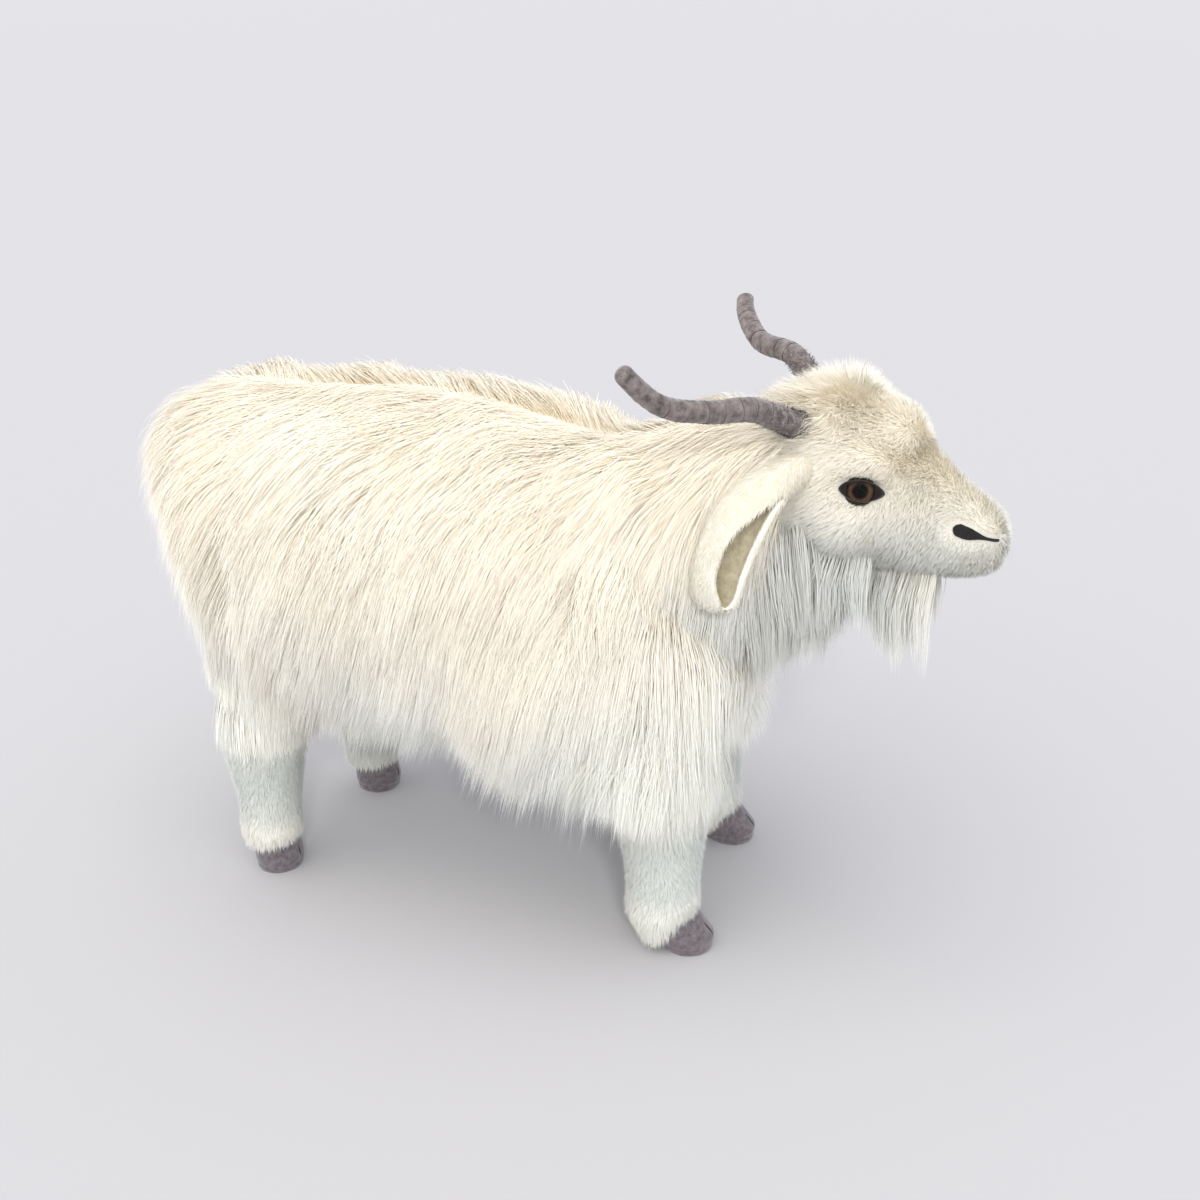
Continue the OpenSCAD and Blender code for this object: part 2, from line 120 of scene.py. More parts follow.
def linear(r, g, b, a=1.0):
    """A colour given in 0 to 255 as it looks, as Blender's linear colour."""
    c = np.array([r, g, b]) / 255.0
    c = np.where(c <= 0.04045, c / 12.92, ((c + 0.055) / 1.055) ** 2.4)
    return (*c, a)


# ---------------------------------------------------------------- meshes

def mesh_object(name, verts, faces):
    """A smooth-shaded object from points in millimetres."""
    me = bpy.data.meshes.new(name)
    me.from_pydata((np.asarray(verts, float) * MM).tolist(), [], [tuple(map(int, f)) for f in faces])
    me.update()
    me.polygons.foreach_set("use_smooth", np.ones(len(me.polygons), bool))
    o = bpy.data.objects.new(name, me)
    bpy.context.scene.collection.objects.link(o)
    return o


def ring(c, u, v, n):
    a = np.linspace(0, 2 * math.pi, n, endpoint=False)[:, None]
    return np.asarray(c) + np.cos(a) * np.asarray(u) + np.sin(a) * np.asarray(v)


def facing_out(verts, faces):
    """(points, faces) of a closed solid, with every face turned outward."""
    middle = verts.mean(0)
    volume = sum(np.dot(verts[f[0]] - middle, np.cross(verts[f[k]] - middle, verts[f[k + 1]] - middle))
                 for f in faces for k in range(1, len(f) - 1))
    return verts, faces if volume > 0 else [tuple(reversed(f)) for f in faces]


def round_faces(m, n):
    """The faces between m rings of n points, where the last ring joins the first."""
    return [(j * n + i, j * n + (i + 1) % n, (j + 1) % m * n + (i + 1) % n, (j + 1) % m * n + i)
            for j in range(m) for i in range(n)]


def tube(rings):
    """(points, faces) of a closed solid through rings of points."""
    m, n = len(rings), len(rings[0])
    ends = [tuple(range(n - 1, -1, -1)), tuple((m - 1) * n + i for i in range(n))]
    return facing_out(np.concatenate(rings), round_faces(m, n)[:-n] + ends)


def blob(centre, radii, pitch=0.0, yaw=0.0, n=24):
    """(points, faces) of an ellipsoid. pitch lowers its front end, in degrees."""
    t = np.linspace(0, math.pi, n // 2 + 1)[1:-1]
    rings = [ring((math.cos(a), 0, 0), (0, math.sin(a), 0), (0, 0, math.sin(a)), n) for a in t]
    verts, faces = tube(rings)
    turn = Matrix.Rotation(math.radians(yaw), 3, "Z") @ Matrix.Rotation(math.radians(pitch), 3, "Y")
    return (verts * np.asarray(radii, float)) @ np.array(turn).T + np.asarray(centre, float), faces


def merged(parts):
    """(points, faces) of several shapes as one."""
    verts, faces, at = [], [], 0
    for v, f in parts:
        verts.append(v)
        faces += [tuple(i + at for i in face) for face in f]
        at += len(v)
    return np.concatenate(verts), faces


def joined(name, parts):
    return mesh_object(name, *merged(parts))


def hollow(name, outer, inner):
    """A shell between two closed surfaces."""
    verts, faces = inner
    return joined(name, [outer, (verts, [tuple(reversed(f)) for f in faces])])


def voxelled(o, voxel, smooth, factor):
    """The object as one smooth skin."""
    remesh = o.modifiers.new("Remesh", "REMESH")
    remesh.mode = "VOXEL"
    remesh.voxel_size = voxel * MM
    soften = o.modifiers.new("Smooth", "SMOOTH")
    soften.factor = factor
    soften.iterations = smooth
    bpy.context.view_layer.update()
    me = bpy.data.meshes.new_from_object(o.evaluated_get(bpy.context.evaluated_depsgraph_get()))
    o.modifiers.clear()
    old, o.data = o.data, me
    bpy.data.meshes.remove(old)
    me.name = o.name
    me.polygons.foreach_set("use_smooth", np.ones(len(me.polygons), bool))
    return o


def rows_of(items, name, width=3, kind=np.float32):
    """One property of all the items of a mesh, a row each."""
    out = np.zeros(len(items) * width, kind)
    items.foreach_get(name, out)
    return out.reshape(-1, width)


def points_of(o):
    return rows_of(o.data.vertices, "co").astype(float) / MM


def normals_of(o):
    return rows_of(o.data.vertices, "normal").astype(float)


def set_points(o, p):
    o.data.vertices.foreach_set("co", (p * MM).astype(np.float32).ravel())
    o.data.update()


def shrunk(o, depth):
    """(points, faces) of a copy of a mesh, this deep under its surface."""
    return points_of(o) - normals_of(o) * depth, [tuple(f.vertices) for f in o.data.polygons]


class Skin:
    """A surface that hair grows on."""

    def __init__(self, o):
        me = o.data
        me.calc_loop_triangles()
        self.co = points_of(o)
        self.nor = normals_of(o)
        self.tri = rows_of(me.loop_triangles, "vertices", kind=np.int32)
        a, b, c = (self.co[self.tri[:, k]] for k in range(3))
        self.area = np.linalg.norm(np.cross(b - a, c - a), axis=1) / 2
        self.mid = (a + b + c) / 3
        self.tnor = unit(self.nor[self.tri].mean(1))
        self.bvh = BVHTree.FromPolygons(self.co.tolist(), self.tri.tolist())

    def sample(self, density, rng, keep):
        """Random points and normals: density a square millimetre, times keep(points, normals)."""
        weight = self.area * np.asarray(keep(self.mid, self.tnor), float)
        count = int(density * weight.sum())
        which = rng.choice(len(self.tri), count, p=weight / weight.sum())
        r = rng.random((count, 2))
        flip = r.sum(1) > 1
        r[flip] = 1 - r[flip]
        w = np.stack([1 - r.sum(1), r[:, 0], r[:, 1]], 1)[:, :, None]
        return (self.co[self.tri[which]] * w).sum(1), unit((self.nor[self.tri[which]] * w).sum(1))


class Field:
    """Distance from a skin on a grid, used to lay hair over the skin instead of through it."""

    def __init__(self, skin, cell=5.0, room=70.0):
        self.cell = cell
        self.lo = skin.co.min(0) - room
        self.shape = np.ceil((skin.co.max(0) + room - self.lo) / cell).astype(int) + 2
        axes = [self.lo[k] + cell * np.arange(self.shape[k]) for k in range(3)]
        grid = np.stack(np.meshgrid(*axes, indexing="ij"), -1).reshape(-1, 3)
        out = np.empty(len(grid))
        find = skin.bvh.find_nearest
        for i, p in enumerate(grid.tolist()):
            at, normal, _, dist = find(p)
            height = (p[0] - at.x) * normal.x + (p[1] - at.y) * normal.y + (p[2] - at.z) * normal.z
            out[i] = dist if height > 0 else -dist
        self.d = out.reshape(self.shape)
        self.g = np.stack(np.gradient(self.d, cell), -1)

    def look(self, p):
        """Distance and outward direction at each point."""
        q = np.clip((p - self.lo) / self.cell, 0, self.shape - 1.001)
        i = q.astype(int)
        f = q - i
        d = np.zeros(len(p))
        g = np.zeros((len(p), 3))
        for c in range(8):
            o = np.array([c & 1, c >> 1 & 1, c >> 2 & 1])
            w = np.prod(np.where(o, f, 1 - f), axis=1)
            k = tuple((i + o).T)
            d += w * self.d[k]
            g += w[:, None] * self.g[k]
        return d, unit(g)


# ---------------------------------------------------------------- hair

def grow(root, normal, comb, length, rng, field=None, segs=6, lift=0.3, fall=0.35, thick=10.0,
         wave=0.12, fray=0.08, hug=0.0):
    """Paths of hairs from their roots, (hairs, segs + 1, 3)."""
    n = len(root)
    comb = unit(comb)
    off = (comb * normal).sum(1, keepdims=True)
    comb = np.where(off < 0, unit(comb - normal * off), comb)
    d = unit(normal * np.reshape(lift, (-1, 1)) + comb + rng.normal(0, fray, (n, 3)))
    stride = (length / segs)[:, None]
    rank = rng.random(n) ** 0.8
    sway = drift(root, rng, 16.0) * wave
    path = [root]
    for k in range(1, segs + 1):
        s = k / segs
        d = unit(d + DOWN * fall * s + sway * math.sin(2.2 * math.pi * s) + rng.normal(0, fray * 0.4, (n, 3)))
        p = path[-1] + d * stride
        if field is not None:
            dist, out = field.look(p)
            need = 0.6 + thick * rank * min(1.0, 2.0 * s)
            shift = np.clip(need - dist, 0, None) - hug * np.clip(dist - need - 5, 0, None)
            p = p + out * shift[:, None]
            d = unit(p - path[-1])
            p = path[-1] + d * stride
        path.append(p)
    return np.stack(path, 1)


def hang_close(path):
    """Draws in the hairs that would stand out past the goat's sides."""
    wide = np.abs(path[..., 1])
    drawn = WIDEST + SLACK * (1 - np.exp(-np.clip(wide - WIDEST, 0, None) / SLACK))
    path[..., 1] = np.sign(path[..., 1]) * np.where(wide > WIDEST, drawn, wide)
    return path


def gather(path, rng, per_lock, pull, tight=0.8):
    """Draws hairs together into locks of about per_lock hairs each, most of all at their tips."""
    n, m = path.shape[:2]
    guides = rng.choice(n, max(2, n // per_lock), replace=False)
    tree = KDTree(len(guides))
    for i, p in enumerate(path[guides, 0].tolist()):
        tree.insert(p, i)
    tree.balance()
    near = guides[np.array([tree.find(p)[1] for p in path[:, 0].tolist()])]
    s = np.linspace(0, 1, m)[None, :, None]
    offset = (path[:, 0] - path[near, 0])[:, None, :]
    target = path[near] + offset * (1 - tight * s)
    w = np.clip(pull * (0.6 + 0.8 * rng.random((n, 1, 1))), 0, 1) * s ** 1.2
    return path * (1 - w) + target * w


def hair_object(name, path, outward, width, zone, rng, flat):
    """A mesh of thin tapering ribbons that face outward and are lit softly as one coat.

    Its UV map holds each hair's colour zone across and root to tip up."""
    n, m = path.shape[:2]
    s = np.linspace(0, 1, m)
    tangent = unit(np.gradient(path, axis=1))
    face = unit(outward[:, None, :] + rng.normal(0, flat, (n, 1, 3)))
    side = unit(np.cross(tangent, face))
    shape = (0.8 + 0.2 * np.sin(np.pi * np.minimum(s * 1.4, 1))) * (1 - 0.75 * s ** 2.5)
    half = 0.5 * width * (0.75 + 0.5 * rng.random((n, 1, 1))) * shape[None, :, None]
    left, right = path - side * half, path + side * half
    per = 2 * (m - 1) + 1

    def laced(left, right, tip):
        """Values for a hair's points: two at each station, and one at the tip."""
        out = np.empty((n, per, left.shape[-1]))
        out[:, 0:per - 1:2], out[:, 1:per - 1:2], out[:, -1] = left[:, :-1], right[:, :-1], tip[:, -1]
        return out

    base = (np.arange(n) * per)[:, None, None]
    k = np.arange(m - 2)[None, :, None]
    quads = base + 2 * k + np.array([0, 1, 3, 2])[None, None, :]
    tips = base[:, 0] + np.array([per - 3, per - 2, per - 1])[None, :]
    loops = np.concatenate([quads.reshape(n, -1), tips], 1).ravel()
    sizes = np.tile(np.array([4] * (m - 2) + [3]), n)
    me = bpy.data.meshes.new(name)
    me.vertices.add(n * per)
    me.vertices.foreach_set("co", (laced(left, right, path) * MM).astype(np.float32).ravel())
    me.loops.add(len(loops))
    me.loops.foreach_set("vertex_index", loops.astype(np.int32))
    me.polygons.add(len(sizes))
    starts = np.concatenate([[0], np.cumsum(sizes)[:-1]])
    me.polygons.foreach_set("loop_start", starts.astype(np.int32))
    me.polygons.foreach_set("use_smooth", np.ones(len(sizes), bool))
    u = np.clip(zone + rng.normal(0, 0.05, (n, 1)), 0.01, 0.98)
    uv = np.stack([u, np.broadcast_to(0.02 + 0.96 * s, u.shape)], -1)
    uv = laced(uv, uv + [0.002, 0], uv)
    layer = me.uv_layers.new(name="OFBake")
    layer.data.foreach_set("uv", uv.reshape(-1, 2)[loops].astype(np.float32).ravel())
    me.update(calc_edges=True)
    me.validate()
    coat = outward[:, None, :]
    coat = coat - 0.4 * tangent * (coat * tangent).sum(-1, keepdims=True)
    soft = unit(COAT_LIGHT * coat + (1 - COAT_LIGHT) * np.cross(side, tangent))
    me.normals_split_custom_set_from_vertices(laced(soft, soft, soft).astype(np.float32).reshape(-1, 3))
    o = bpy.data.objects.new(name, me)
    bpy.context.scene.collection.objects.link(o)
    return o


# ---------------------------------------------------------------- materials

class Nodes:
    """A material's nodes. Inputs go by their names, with _ for a space, and are values or sockets to link."""

    def __init__(self, name):
        self.material = bpy.data.materials.new(name)
        self.material.use_nodes = True
        self.tree = self.material.node_tree

    def fill(self, node, inputs):
        for key, value in inputs.items():
            socket = node.inputs[key.replace("_", " ")]
            if isinstance(value, bpy.types.NodeSocket):
                self.tree.links.new(value, socket)
            else:
                socket.default_value = value

    def add(self, kind, output, **inputs):
        """An output of a new node."""
        node = self.tree.nodes.new(f"ShaderNode{kind}")
        self.fill(node, inputs)
        return node.outputs[output]

    def baked_map(self):
        """The UV map's output, then its parts across and up."""
        node = self.tree.nodes.new("ShaderNodeUVMap")
        node.uv_map = "OFBake"
        split = self.tree.nodes.new("ShaderNodeSeparateXYZ")
        self.tree.links.new(node.outputs["UV"], split.inputs["Vector"])
        return node.outputs["UV"], split.outputs["X"], split.outputs["Y"]

    def ramp(self, fac, stops):
        node = self.tree.nodes.new("ShaderNodeValToRGB")
        ends = node.color_ramp.elements
        ends[0].position, ends[0].color = stops[0]
        ends[1].position, ends[1].color = stops[-1]
        for at, colour in stops[1:-1]:
            ends.new(at).color = colour
        self.tree.links.new(fac, node.inputs["Fac"])
        return node.outputs["Color"]

    def times(self, a, b):
        node = self.tree.nodes.new("ShaderNodeMix")
        node.data_type = "RGBA"
        node.blend_type = "MULTIPLY"
        self.fill(node, {"Factor": 1.0, "A": a, "B": b})
        return node.outputs["Result"]

    def shaded(self, **inputs):
        """The material, with these inputs of its shader."""
        self.fill(self.tree.nodes["Principled BSDF"], inputs)
        return self.material


def hair_material(name, low, mid, high, root):
    """Pile: its colour zone runs across the UV map, and roots are deeper and warmer than tips."""
    m = Nodes(name)
    uv, across, up = m.baked_map()
    zone = m.ramp(across, [(0.0, linear(*low)), (0.5, linear(*mid)), (1.0, linear(*high))])
    depth = m.ramp(up, [(0.0, linear(*root)), (0.45, WHITE), (1.0, WHITE)])
    stretched = m.add("Mapping", "Vector", Scale=(160, 3, 1), Vector=uv)
    noise = m.add("TexNoise", "Fac", Scale=1.0, Detail=1.0, Vector=stretched)
    strands = m.ramp(noise, [(0.25, linear(248, 246, 241)), (0.75, WHITE)])
    return m.shaded(Base_Color=m.times(m.times(zone, depth), strands), Roughness=0.62, Specular_IOR_Level=0.25,
                    Sheen_Weight=0.25, Sheen_Roughness=0.5)


def cloth_material(name, dark, light, scale, bump=0.25, sheen=0.3, detail=6.0):
    """Napped cloth: mottled colour from noise, with a finer fibre bump."""
    m = Nodes(name)
    where = m.add("TexCoord", "Object")
    noise = m.add("TexNoise", "Fac", Scale=scale, Detail=detail, Roughness=0.65, Vector=where)
    colour = m.ramp(noise, [(0.32, linear(*dark)), (0.68, linear(*light))])
    fibres = m.add("TexNoise", "Fac", Scale=scale * 6, Detail=3.0, Vector=where)
    nap = m.add("Bump", "Normal", Strength=bump, Distance=0.0004, Height=fibres)
    return m.shaded(Base_Color=colour, Normal=nap, Roughness=0.9, Sheen_Weight=sheen, Specular_IOR_Level=0.2)


def plain_material(name, dark, light, scale, rough, metal=0.0, stretch=(1, 1, 1)):
    """A hard material: slightly uneven colour and polish."""
    m = Nodes(name)
    where = m.add("Mapping", "Vector", Scale=stretch, Vector=m.add("TexCoord", "Object"))
    noise = m.add("TexNoise", "Fac", Scale=scale, Detail=5.0, Vector=where)
    colour = m.ramp(noise, [(0.35, linear(*dark)), (0.65, linear(*light))])
    polish = m.add("MapRange", "Result", To_Min=rough * 0.8, To_Max=rough * 1.2, Value=noise)
    return m.shaded(Base_Color=colour, Roughness=polish, Metallic=metal)


def iris_material():
    """A dark pupil in a brown ring with fine rays; the map runs from the middle out and once round."""
    m = Nodes("eye_iris")
    uv, out, _ = m.baked_map()
    ring_colour = m.ramp(out, [(0.0, linear(4, 4, 4)), (0.46, linear(5, 5, 5)), (0.53, linear(66, 50, 37)),
                               (0.68, linear(112, 86, 64)), (0.84, linear(78, 59, 44)), (1.0, linear(20, 15, 12))])
    noise = m.add("TexNoise", "Fac", Scale=1.0, Vector=m.add("Mapping", "Vector", Scale=(2, 60, 1), Vector=uv))
    rays = m.ramp(noise, [(0.3, linear(190, 184, 178)), (0.7, WHITE)])
    return m.shaded(Base_Color=m.times(ring_colour, rays), Roughness=0.5, Specular_IOR_Level=0.1)


def lens_material():
    """Clear plastic over the iris. Its low IOR keeps the pale room out of the pupil."""
    m = Nodes("eye_lens")
    noise = m.add("TexNoise", "Fac", Scale=500.0, Vector=m.add("TexCoord", "Object"))
    tint = m.ramp(noise, [(0.3, linear(246, 243, 240)), (0.7, linear(252, 250, 248))])
    return m.shaded(Base_Color=tint, Roughness=0.03, IOR=1.12, Transmission_Weight=1.0)


def floor_material():
    m = Nodes("floor_paper")
    tone = m.ramp(m.add("TexNoise", "Fac", Scale=3.0), [(0.3, linear(184, 182, 182)), (0.7, linear(187, 184, 184))])
    return m.shaded(Base_Color=tone, Roughness=0.9, Specular_IOR_Level=0.1)


def paint(o, material):
    o.data.materials.clear()
    o.data.materials.append(material)
    return o


# ---------------------------------------------------------------- camera, floor and light

def studio():
    cam = bpy.data.cameras.new("Camera")
    cam.lens = 48
    cam.sensor_width = 36
    cam_o = bpy.data.objects.new("Camera", cam)
    bpy.context.scene.collection.objects.link(cam_o)
    azimuth, elevation, away = math.radians(17.11), math.radians(24.0), 0.732
    aim = Vector((0.0274, 0.0, 0.14396))
    back = Vector((math.sin(azimuth) * math.cos(elevation), -math.cos(azimuth) * math.cos(elevation),
                   math.sin(elevation)))
    cam_o.location = aim + back * away
    cam_o.rotation_euler = back.to_track_quat("Z", "Y").to_euler()
    bpy.context.scene.camera = cam_o

    size = 20000.0
    floor = mesh_object("floor", [(-size, -size, 0), (size, -size, 0), (size, size, 0), (-size, size, 0)],
                        [(0, 1, 2, 3)])
    paint(floor, floor_material())

    world = bpy.data.worlds.new("World")
    world.use_nodes = True
    world.node_tree.nodes["Background"].inputs["Color"].default_value = linear(238, 243, 255)
    world.node_tree.nodes["Background"].inputs["Strength"].default_value = 1.06
    bpy.context.scene.world = world
    for name, power, angle, turn, colour in (
            ("key", 1.68, 80, (24, -12, 0), linear(255, 250, 240)),
            ("fill", 0.2, 90, (55, 25, 0), linear(246, 250, 255)),
            ("glint", 1.1, 8, (57, 0, 24), linear(255, 255, 255))):
        sun = bpy.data.lights.new(name, "SUN")
        sun.energy = power
        sun.angle = math.radians(angle)
        sun.color = colour[:3]
        sun_o = bpy.data.objects.new(name, sun)
        sun_o.rotation_euler = [math.radians(a) for a in turn]
        bpy.context.scene.collection.objects.link(sun_o)
    bpy.context.scene.view_settings.view_transform = "Standard"
    bpy.context.scene.cycles.diffuse_bounces = 8


# ---------------------------------------------------------------- skins

# Body stations: place along the stuffing's length, and top, underside and half width, as shares of its box
BODY_ROWS = [
    (0.012, 0.76, 0.66, 0.10), (0.03, 0.89, 0.50, 0.38), (0.066, 0.95, 0.33, 0.60), (0.13, 0.98, 0.16, 0.80),
    (0.25, 0.99, 0.02, 0.93), (0.42, 1.00, 0.00, 1.00), (0.60, 0.985, 0.00, 1.00), (0.75, 0.92, 0.00, 0.95),
    (0.87, 0.78, 0.00, 0.80), (0.95, 0.52, 0.08, 0.56), (0.985, 0.40, 0.18, 0.34), (1.00, 0.32, 0.26, 0.08)]
# Neck stations from inside the shoulders to the nape: x, z, half width, half height
NECK_ROWS = [(38, 176, 40, 42), (62, 186, 36, 38), (84, 196, 31.5, 33), (103, 206, 28, 30), (122, 216, 25, 27)]
# Each leg: side, pivot, ankle, thigh and shin radius, and its hoof's edge: x, z and tilt
LEGS = {
    "foreleg_right": dict(side=-1, top=(66, -38, 100), ankle=(72.5, -48, 22), r=(20, 15.2), heel=(76.5, 12, 49)),
    "foreleg_left": dict(side=1, top=(64.5, 38, 100), ankle=(71, 48, 22), r=(20, 15.2), heel=(75, 12, 49)),
    "hindleg_right": dict(side=-1, top=(-131, -34, 100), ankle=(-127.5, -42.5, 24), r=(18, 13.6),
                          heel=(-126.6, 16.5, 12)),
    "hindleg_left": dict(side=1, top=(-116, 34, 100), ankle=(-112.3, 42.5, 24), r=(18, 13.6),
                         heel=(-111.4, 16.5, 12))}
# Head stations from nape to muzzle: x, top, underside, half width, and how much narrower the top is
HEAD_ROWS = [
    (108, 236, 194, 19, 0.0), (113, 245, 190, 24, 0.0), (121, 251, 187, 27, 0.0), (132, 253.5, 184.5, 28.5, 0.02),
    (143, 252, 182, 28, 0.05), (152, 248.5, 181, 26, 0.10), (160, 243, 180.5, 23.5, 0.16),
    (167, 234.5, 180, 20.5, 0.24), (174, 226.5, 179.5, 17.8, 0.28), (182, 219.5, 179.5, 16, 0.26),
    (190, 213.5, 179.5, 14.8, 0.20), (197, 208, 180.5, 13, 0.14), (202, 202, 184, 9.5, 0.05), (204, 196, 190, 4, 0.0)]
LEG_ROOM = 6             # how far outside its thigh radius a leg's hair may be rooted, in mm
SIDES = ((-1, "right"), (1, "left"))
MUZZLE = 176             # x past which the nostrils and lips lie
EYE = np.array([145.4, 26.5, 219.0])
EYE_OUT = np.array([0.26, 0.95, 0.17])


def body_rings(inset=0.0, stations=44, sides=44):
    lo, hi, _ = place("torso_stuffing")
    length, height = hi[0] - lo[0], hi[2] - lo[2]
    rings = []
    a = np.linspace(0, 2 * math.pi, sides, endpoint=False)
    cos, sin = np.cos(a), np.sin(a)
    for t in np.linspace(0, 1, stations):
        f, top, under, wide = curve(BODY_ROWS, t)
        x = lo[0] + inset + f * (length - 2 * inset)
        z1, z0 = lo[2] + top * height - inset, lo[2] + under * height + inset
        z1, z0 = max(z1, (z1 + z0) / 2 + 1), min(z0, (z1 + z0) / 2 - 1)
        w = max(wide * hi[1] - inset, 1)
        y = w * np.sign(cos) * np.abs(cos) ** 0.9
        z = (z1 + z0) / 2 + (z1 - z0) / 2 * np.sign(sin) * np.abs(sin) ** 0.9
        rings.append(np.stack([np.full(sides, x), y, z], 1))
    return rings


def neck_rings(inset=0.0, stations=14, sides=32):
    rings = []
    rows = curve(NECK_ROWS, np.linspace(0, 1, stations))
    along = directions(np.stack([rows[:, 0], np.zeros(len(rows)), rows[:, 1]], 1))
    for k, ((x, z, w, h), d) in enumerate(zip(rows, along)):
        up = np.array([-d[2], 0, d[0]])
        middle = np.array([x, 0, z]) + d * inset * (1 - 2 * k / (stations - 1))
        rings.append(ring(middle, (0, w - inset, 0), up * (h - inset), sides))
    return rings


def leg_axis(leg, z):
    top, ankle = np.array(leg["top"], float), np.array(leg["ankle"], float)
    return ankle + (top - ankle) * (z - ankle[2]) / (top[2] - ankle[2])


def off_axis(leg, p):
    """From a leg's axis to each point, at the point's own height."""
    low, high = (leg_axis(leg, z) for z in (0.0, 100.0))
    return p - (low + (high - low) * (p[:, 2:3] / 100.0))


def leg_rings(leg, inset=0.0, sides=28):
    """Rings of a leg's skin from inside the body to the slanted edge of its hoof."""
    thigh, shin = leg["r"]
    rings = []
    for z, k in ((121 - inset, 0.45), (116 - inset, 0.82), (105, 1.05), (90, 1.0), (76, 0.98)):
        r = max(thigh * k - inset, 3)
        rings.append(ring(leg_axis(leg, z), (r, 0, 0), (0, r, 0), sides))
    for z, k in ((62, 1.10), (50, 1.08), (38, 1.0), (29, 0.97), (leg["ankle"][2], 1.0)):
        r = shin * k - inset
        rings.append(ring(leg_axis(leg, z), (r, 0, 0), (0, r, 0), sides))
    x, z, tilt = leg["heel"]
    a = math.radians(tilt)
    r = shin - 2.6 - inset
    slope, ahead = np.array([math.cos(a), 0, math.sin(a)]), np.array([math.sin(a), 0, -math.cos(a)])
    edge = np.array([x, leg["ankle"][1], z])
    rings.append(ring(edge - ahead * (2.8 + inset), slope * (r + 0.9), (0, r + 0.9, 0), sides))
    rings.append(ring(edge - ahead * (0.5 + inset), slope * (r - 0.4), (0, r - 0.4, 0), sides))
    return rings


def head_rings(stations=44, sides=40):
    a = np.linspace(0, 2 * math.pi, sides, endpoint=False)
    cos, sin = np.cos(a), np.sin(a)
    rings = []
    for x, top, under, wide, narrow in curve(HEAD_ROWS, np.linspace(0, 1, stations)):
        height = np.sign(sin) * np.abs(sin) ** 0.9
        y = wide * np.sign(cos) * np.abs(cos) ** 0.9 * (1 - narrow * height)
        z = (top + under) / 2 + (top - under) / 2 * height
        rings.append(np.stack([np.full(sides, x), y, z], 1))
    return rings


def eye_axes(side):
    """(centre, forward, up, outward) of an eye."""
    flip = np.array([1, side, 1])
    out = unit(EYE_OUT * flip)
    up = unit(np.array([0, 0, 1.0]) - out * out[2])
    ahead = np.cross(up, out) * -side
    lean = math.radians(-7)
    return (EYE * flip, math.cos(lean) * ahead + math.sin(lean) * up,
            math.cos(lean) * up - math.sin(lean) * ahead, out)


def almond(angle, back, front, above, below):
    """Half extents of the eye opening in the directions ahead and up."""
    c, s = np.cos(angle), np.sin(angle)
    return (np.where(c > 0, front, back) * c,
            np.where(s > 0, above, below) * np.sign(s) * np.abs(s) ** 1.35)


def make_head():
    parts = [tube(head_rings())]
    for s in (-1, 1):
        parts += [blob((146, 19.5 * s, 231), (15, 8.5, 6), pitch=16, yaw=-6 * s),
                  blob((140, 18 * s, 203), (19, 11.5, 15), pitch=10),
                  blob((160, 14 * s, 200), (20, 9, 12), pitch=8, yaw=-10 * s),
                  blob((194, 9 * s, 200), (9, 5.5, 7), pitch=14)]
    parts.append(blob((187, 0, 184.5), (14, 10.5, 6), pitch=-6))
    parts.append(blob((157, 0, 239), (13, 15, 8), pitch=38))
    o = voxelled(joined("head_skin", parts), 1.5, smooth=24, factor=0.6)
    p = points_of(o)
    for s in (-1, 1):
        centre, ahead, up, out = eye_axes(s)
        q = p - centre
        u, v, w = q @ ahead, q @ up, q @ out
        reach = np.hypot(u / 10.2, v / 5.9)
        near = (w > -12) & (reach < 2.2)
        limit = -0.4 + 7.5 * np.clip(reach - 1.0, 0, None) ** 1.25
        p = p - np.where(near, np.clip(w - limit, 0, None), 0)[:, None] * out
    lip = np.abs(p[:, 2] - (187.5 - 0.14 * (204 - p[:, 0])))
    groove = 1.1 * np.exp(-(lip / 1.3) ** 2) * step(p[:, 0], 180, 190)
    set_points(o, p - normals_of(o) * groove[:, None])
    return o


studio()
SHAPES = {"torso": tube(body_rings()), "neck": tube(neck_rings())}
for leg_name, leg_facts in LEGS.items():
    SHAPES[leg_name] = tube(leg_rings(leg_facts))
whole = voxelled(joined("growing_skin", list(SHAPES.values())), 2.5, smooth=8, factor=0.6)
BODY = Skin(whole)
FIELD = Field(BODY)
bpy.data.objects.remove(whole)
head = make_head()
HEAD = Skin(head)
HEAD_FIELD = Field(HEAD, cell=3.0, room=30.0)

# LONG's cooler, greyer low colour is painted shade for hair low on the body, skirts and neck; its high colour is the
# pile's cream tone.
LONG = hair_material("long_pile", (238, 242, 239), (246, 242, 231), (244, 236, 218), (255, 250, 240))
# Painted shade: the wispy pile is darker and greyer all over and stands in for the shade under the head on the beard,
# jaw hair and throat mane.
SHADED_WISPY = hair_material("wispy_pile", (210, 213, 210), (224, 225, 219), (240, 238, 230), (252, 250, 245))
# SHORT's greyer low colour is painted shade for the legs and the underside of the face.
SHORT = hair_material("short_pile", (214, 218, 213), (244, 242, 233), (250, 244, 229), (254, 251, 243))


# ---------------------------------------------------------------- piles

def near_leg(p):
    """True where a point of the growing skin belongs to a leg below the body."""
    out = np.zeros(len(p), bool)
    for leg in LEGS.values():
        out |= (np.hypot(*off_axis(leg, p)[:, :2].T) < leg["r"][0] + LEG_ROOM) & (p[:, 2] < 103)
    return out


def on_neck(p):
    return (p[:, 0] > 100 - 0.55 * (p[:, 2] - 150)) & (p[:, 2] > 140)


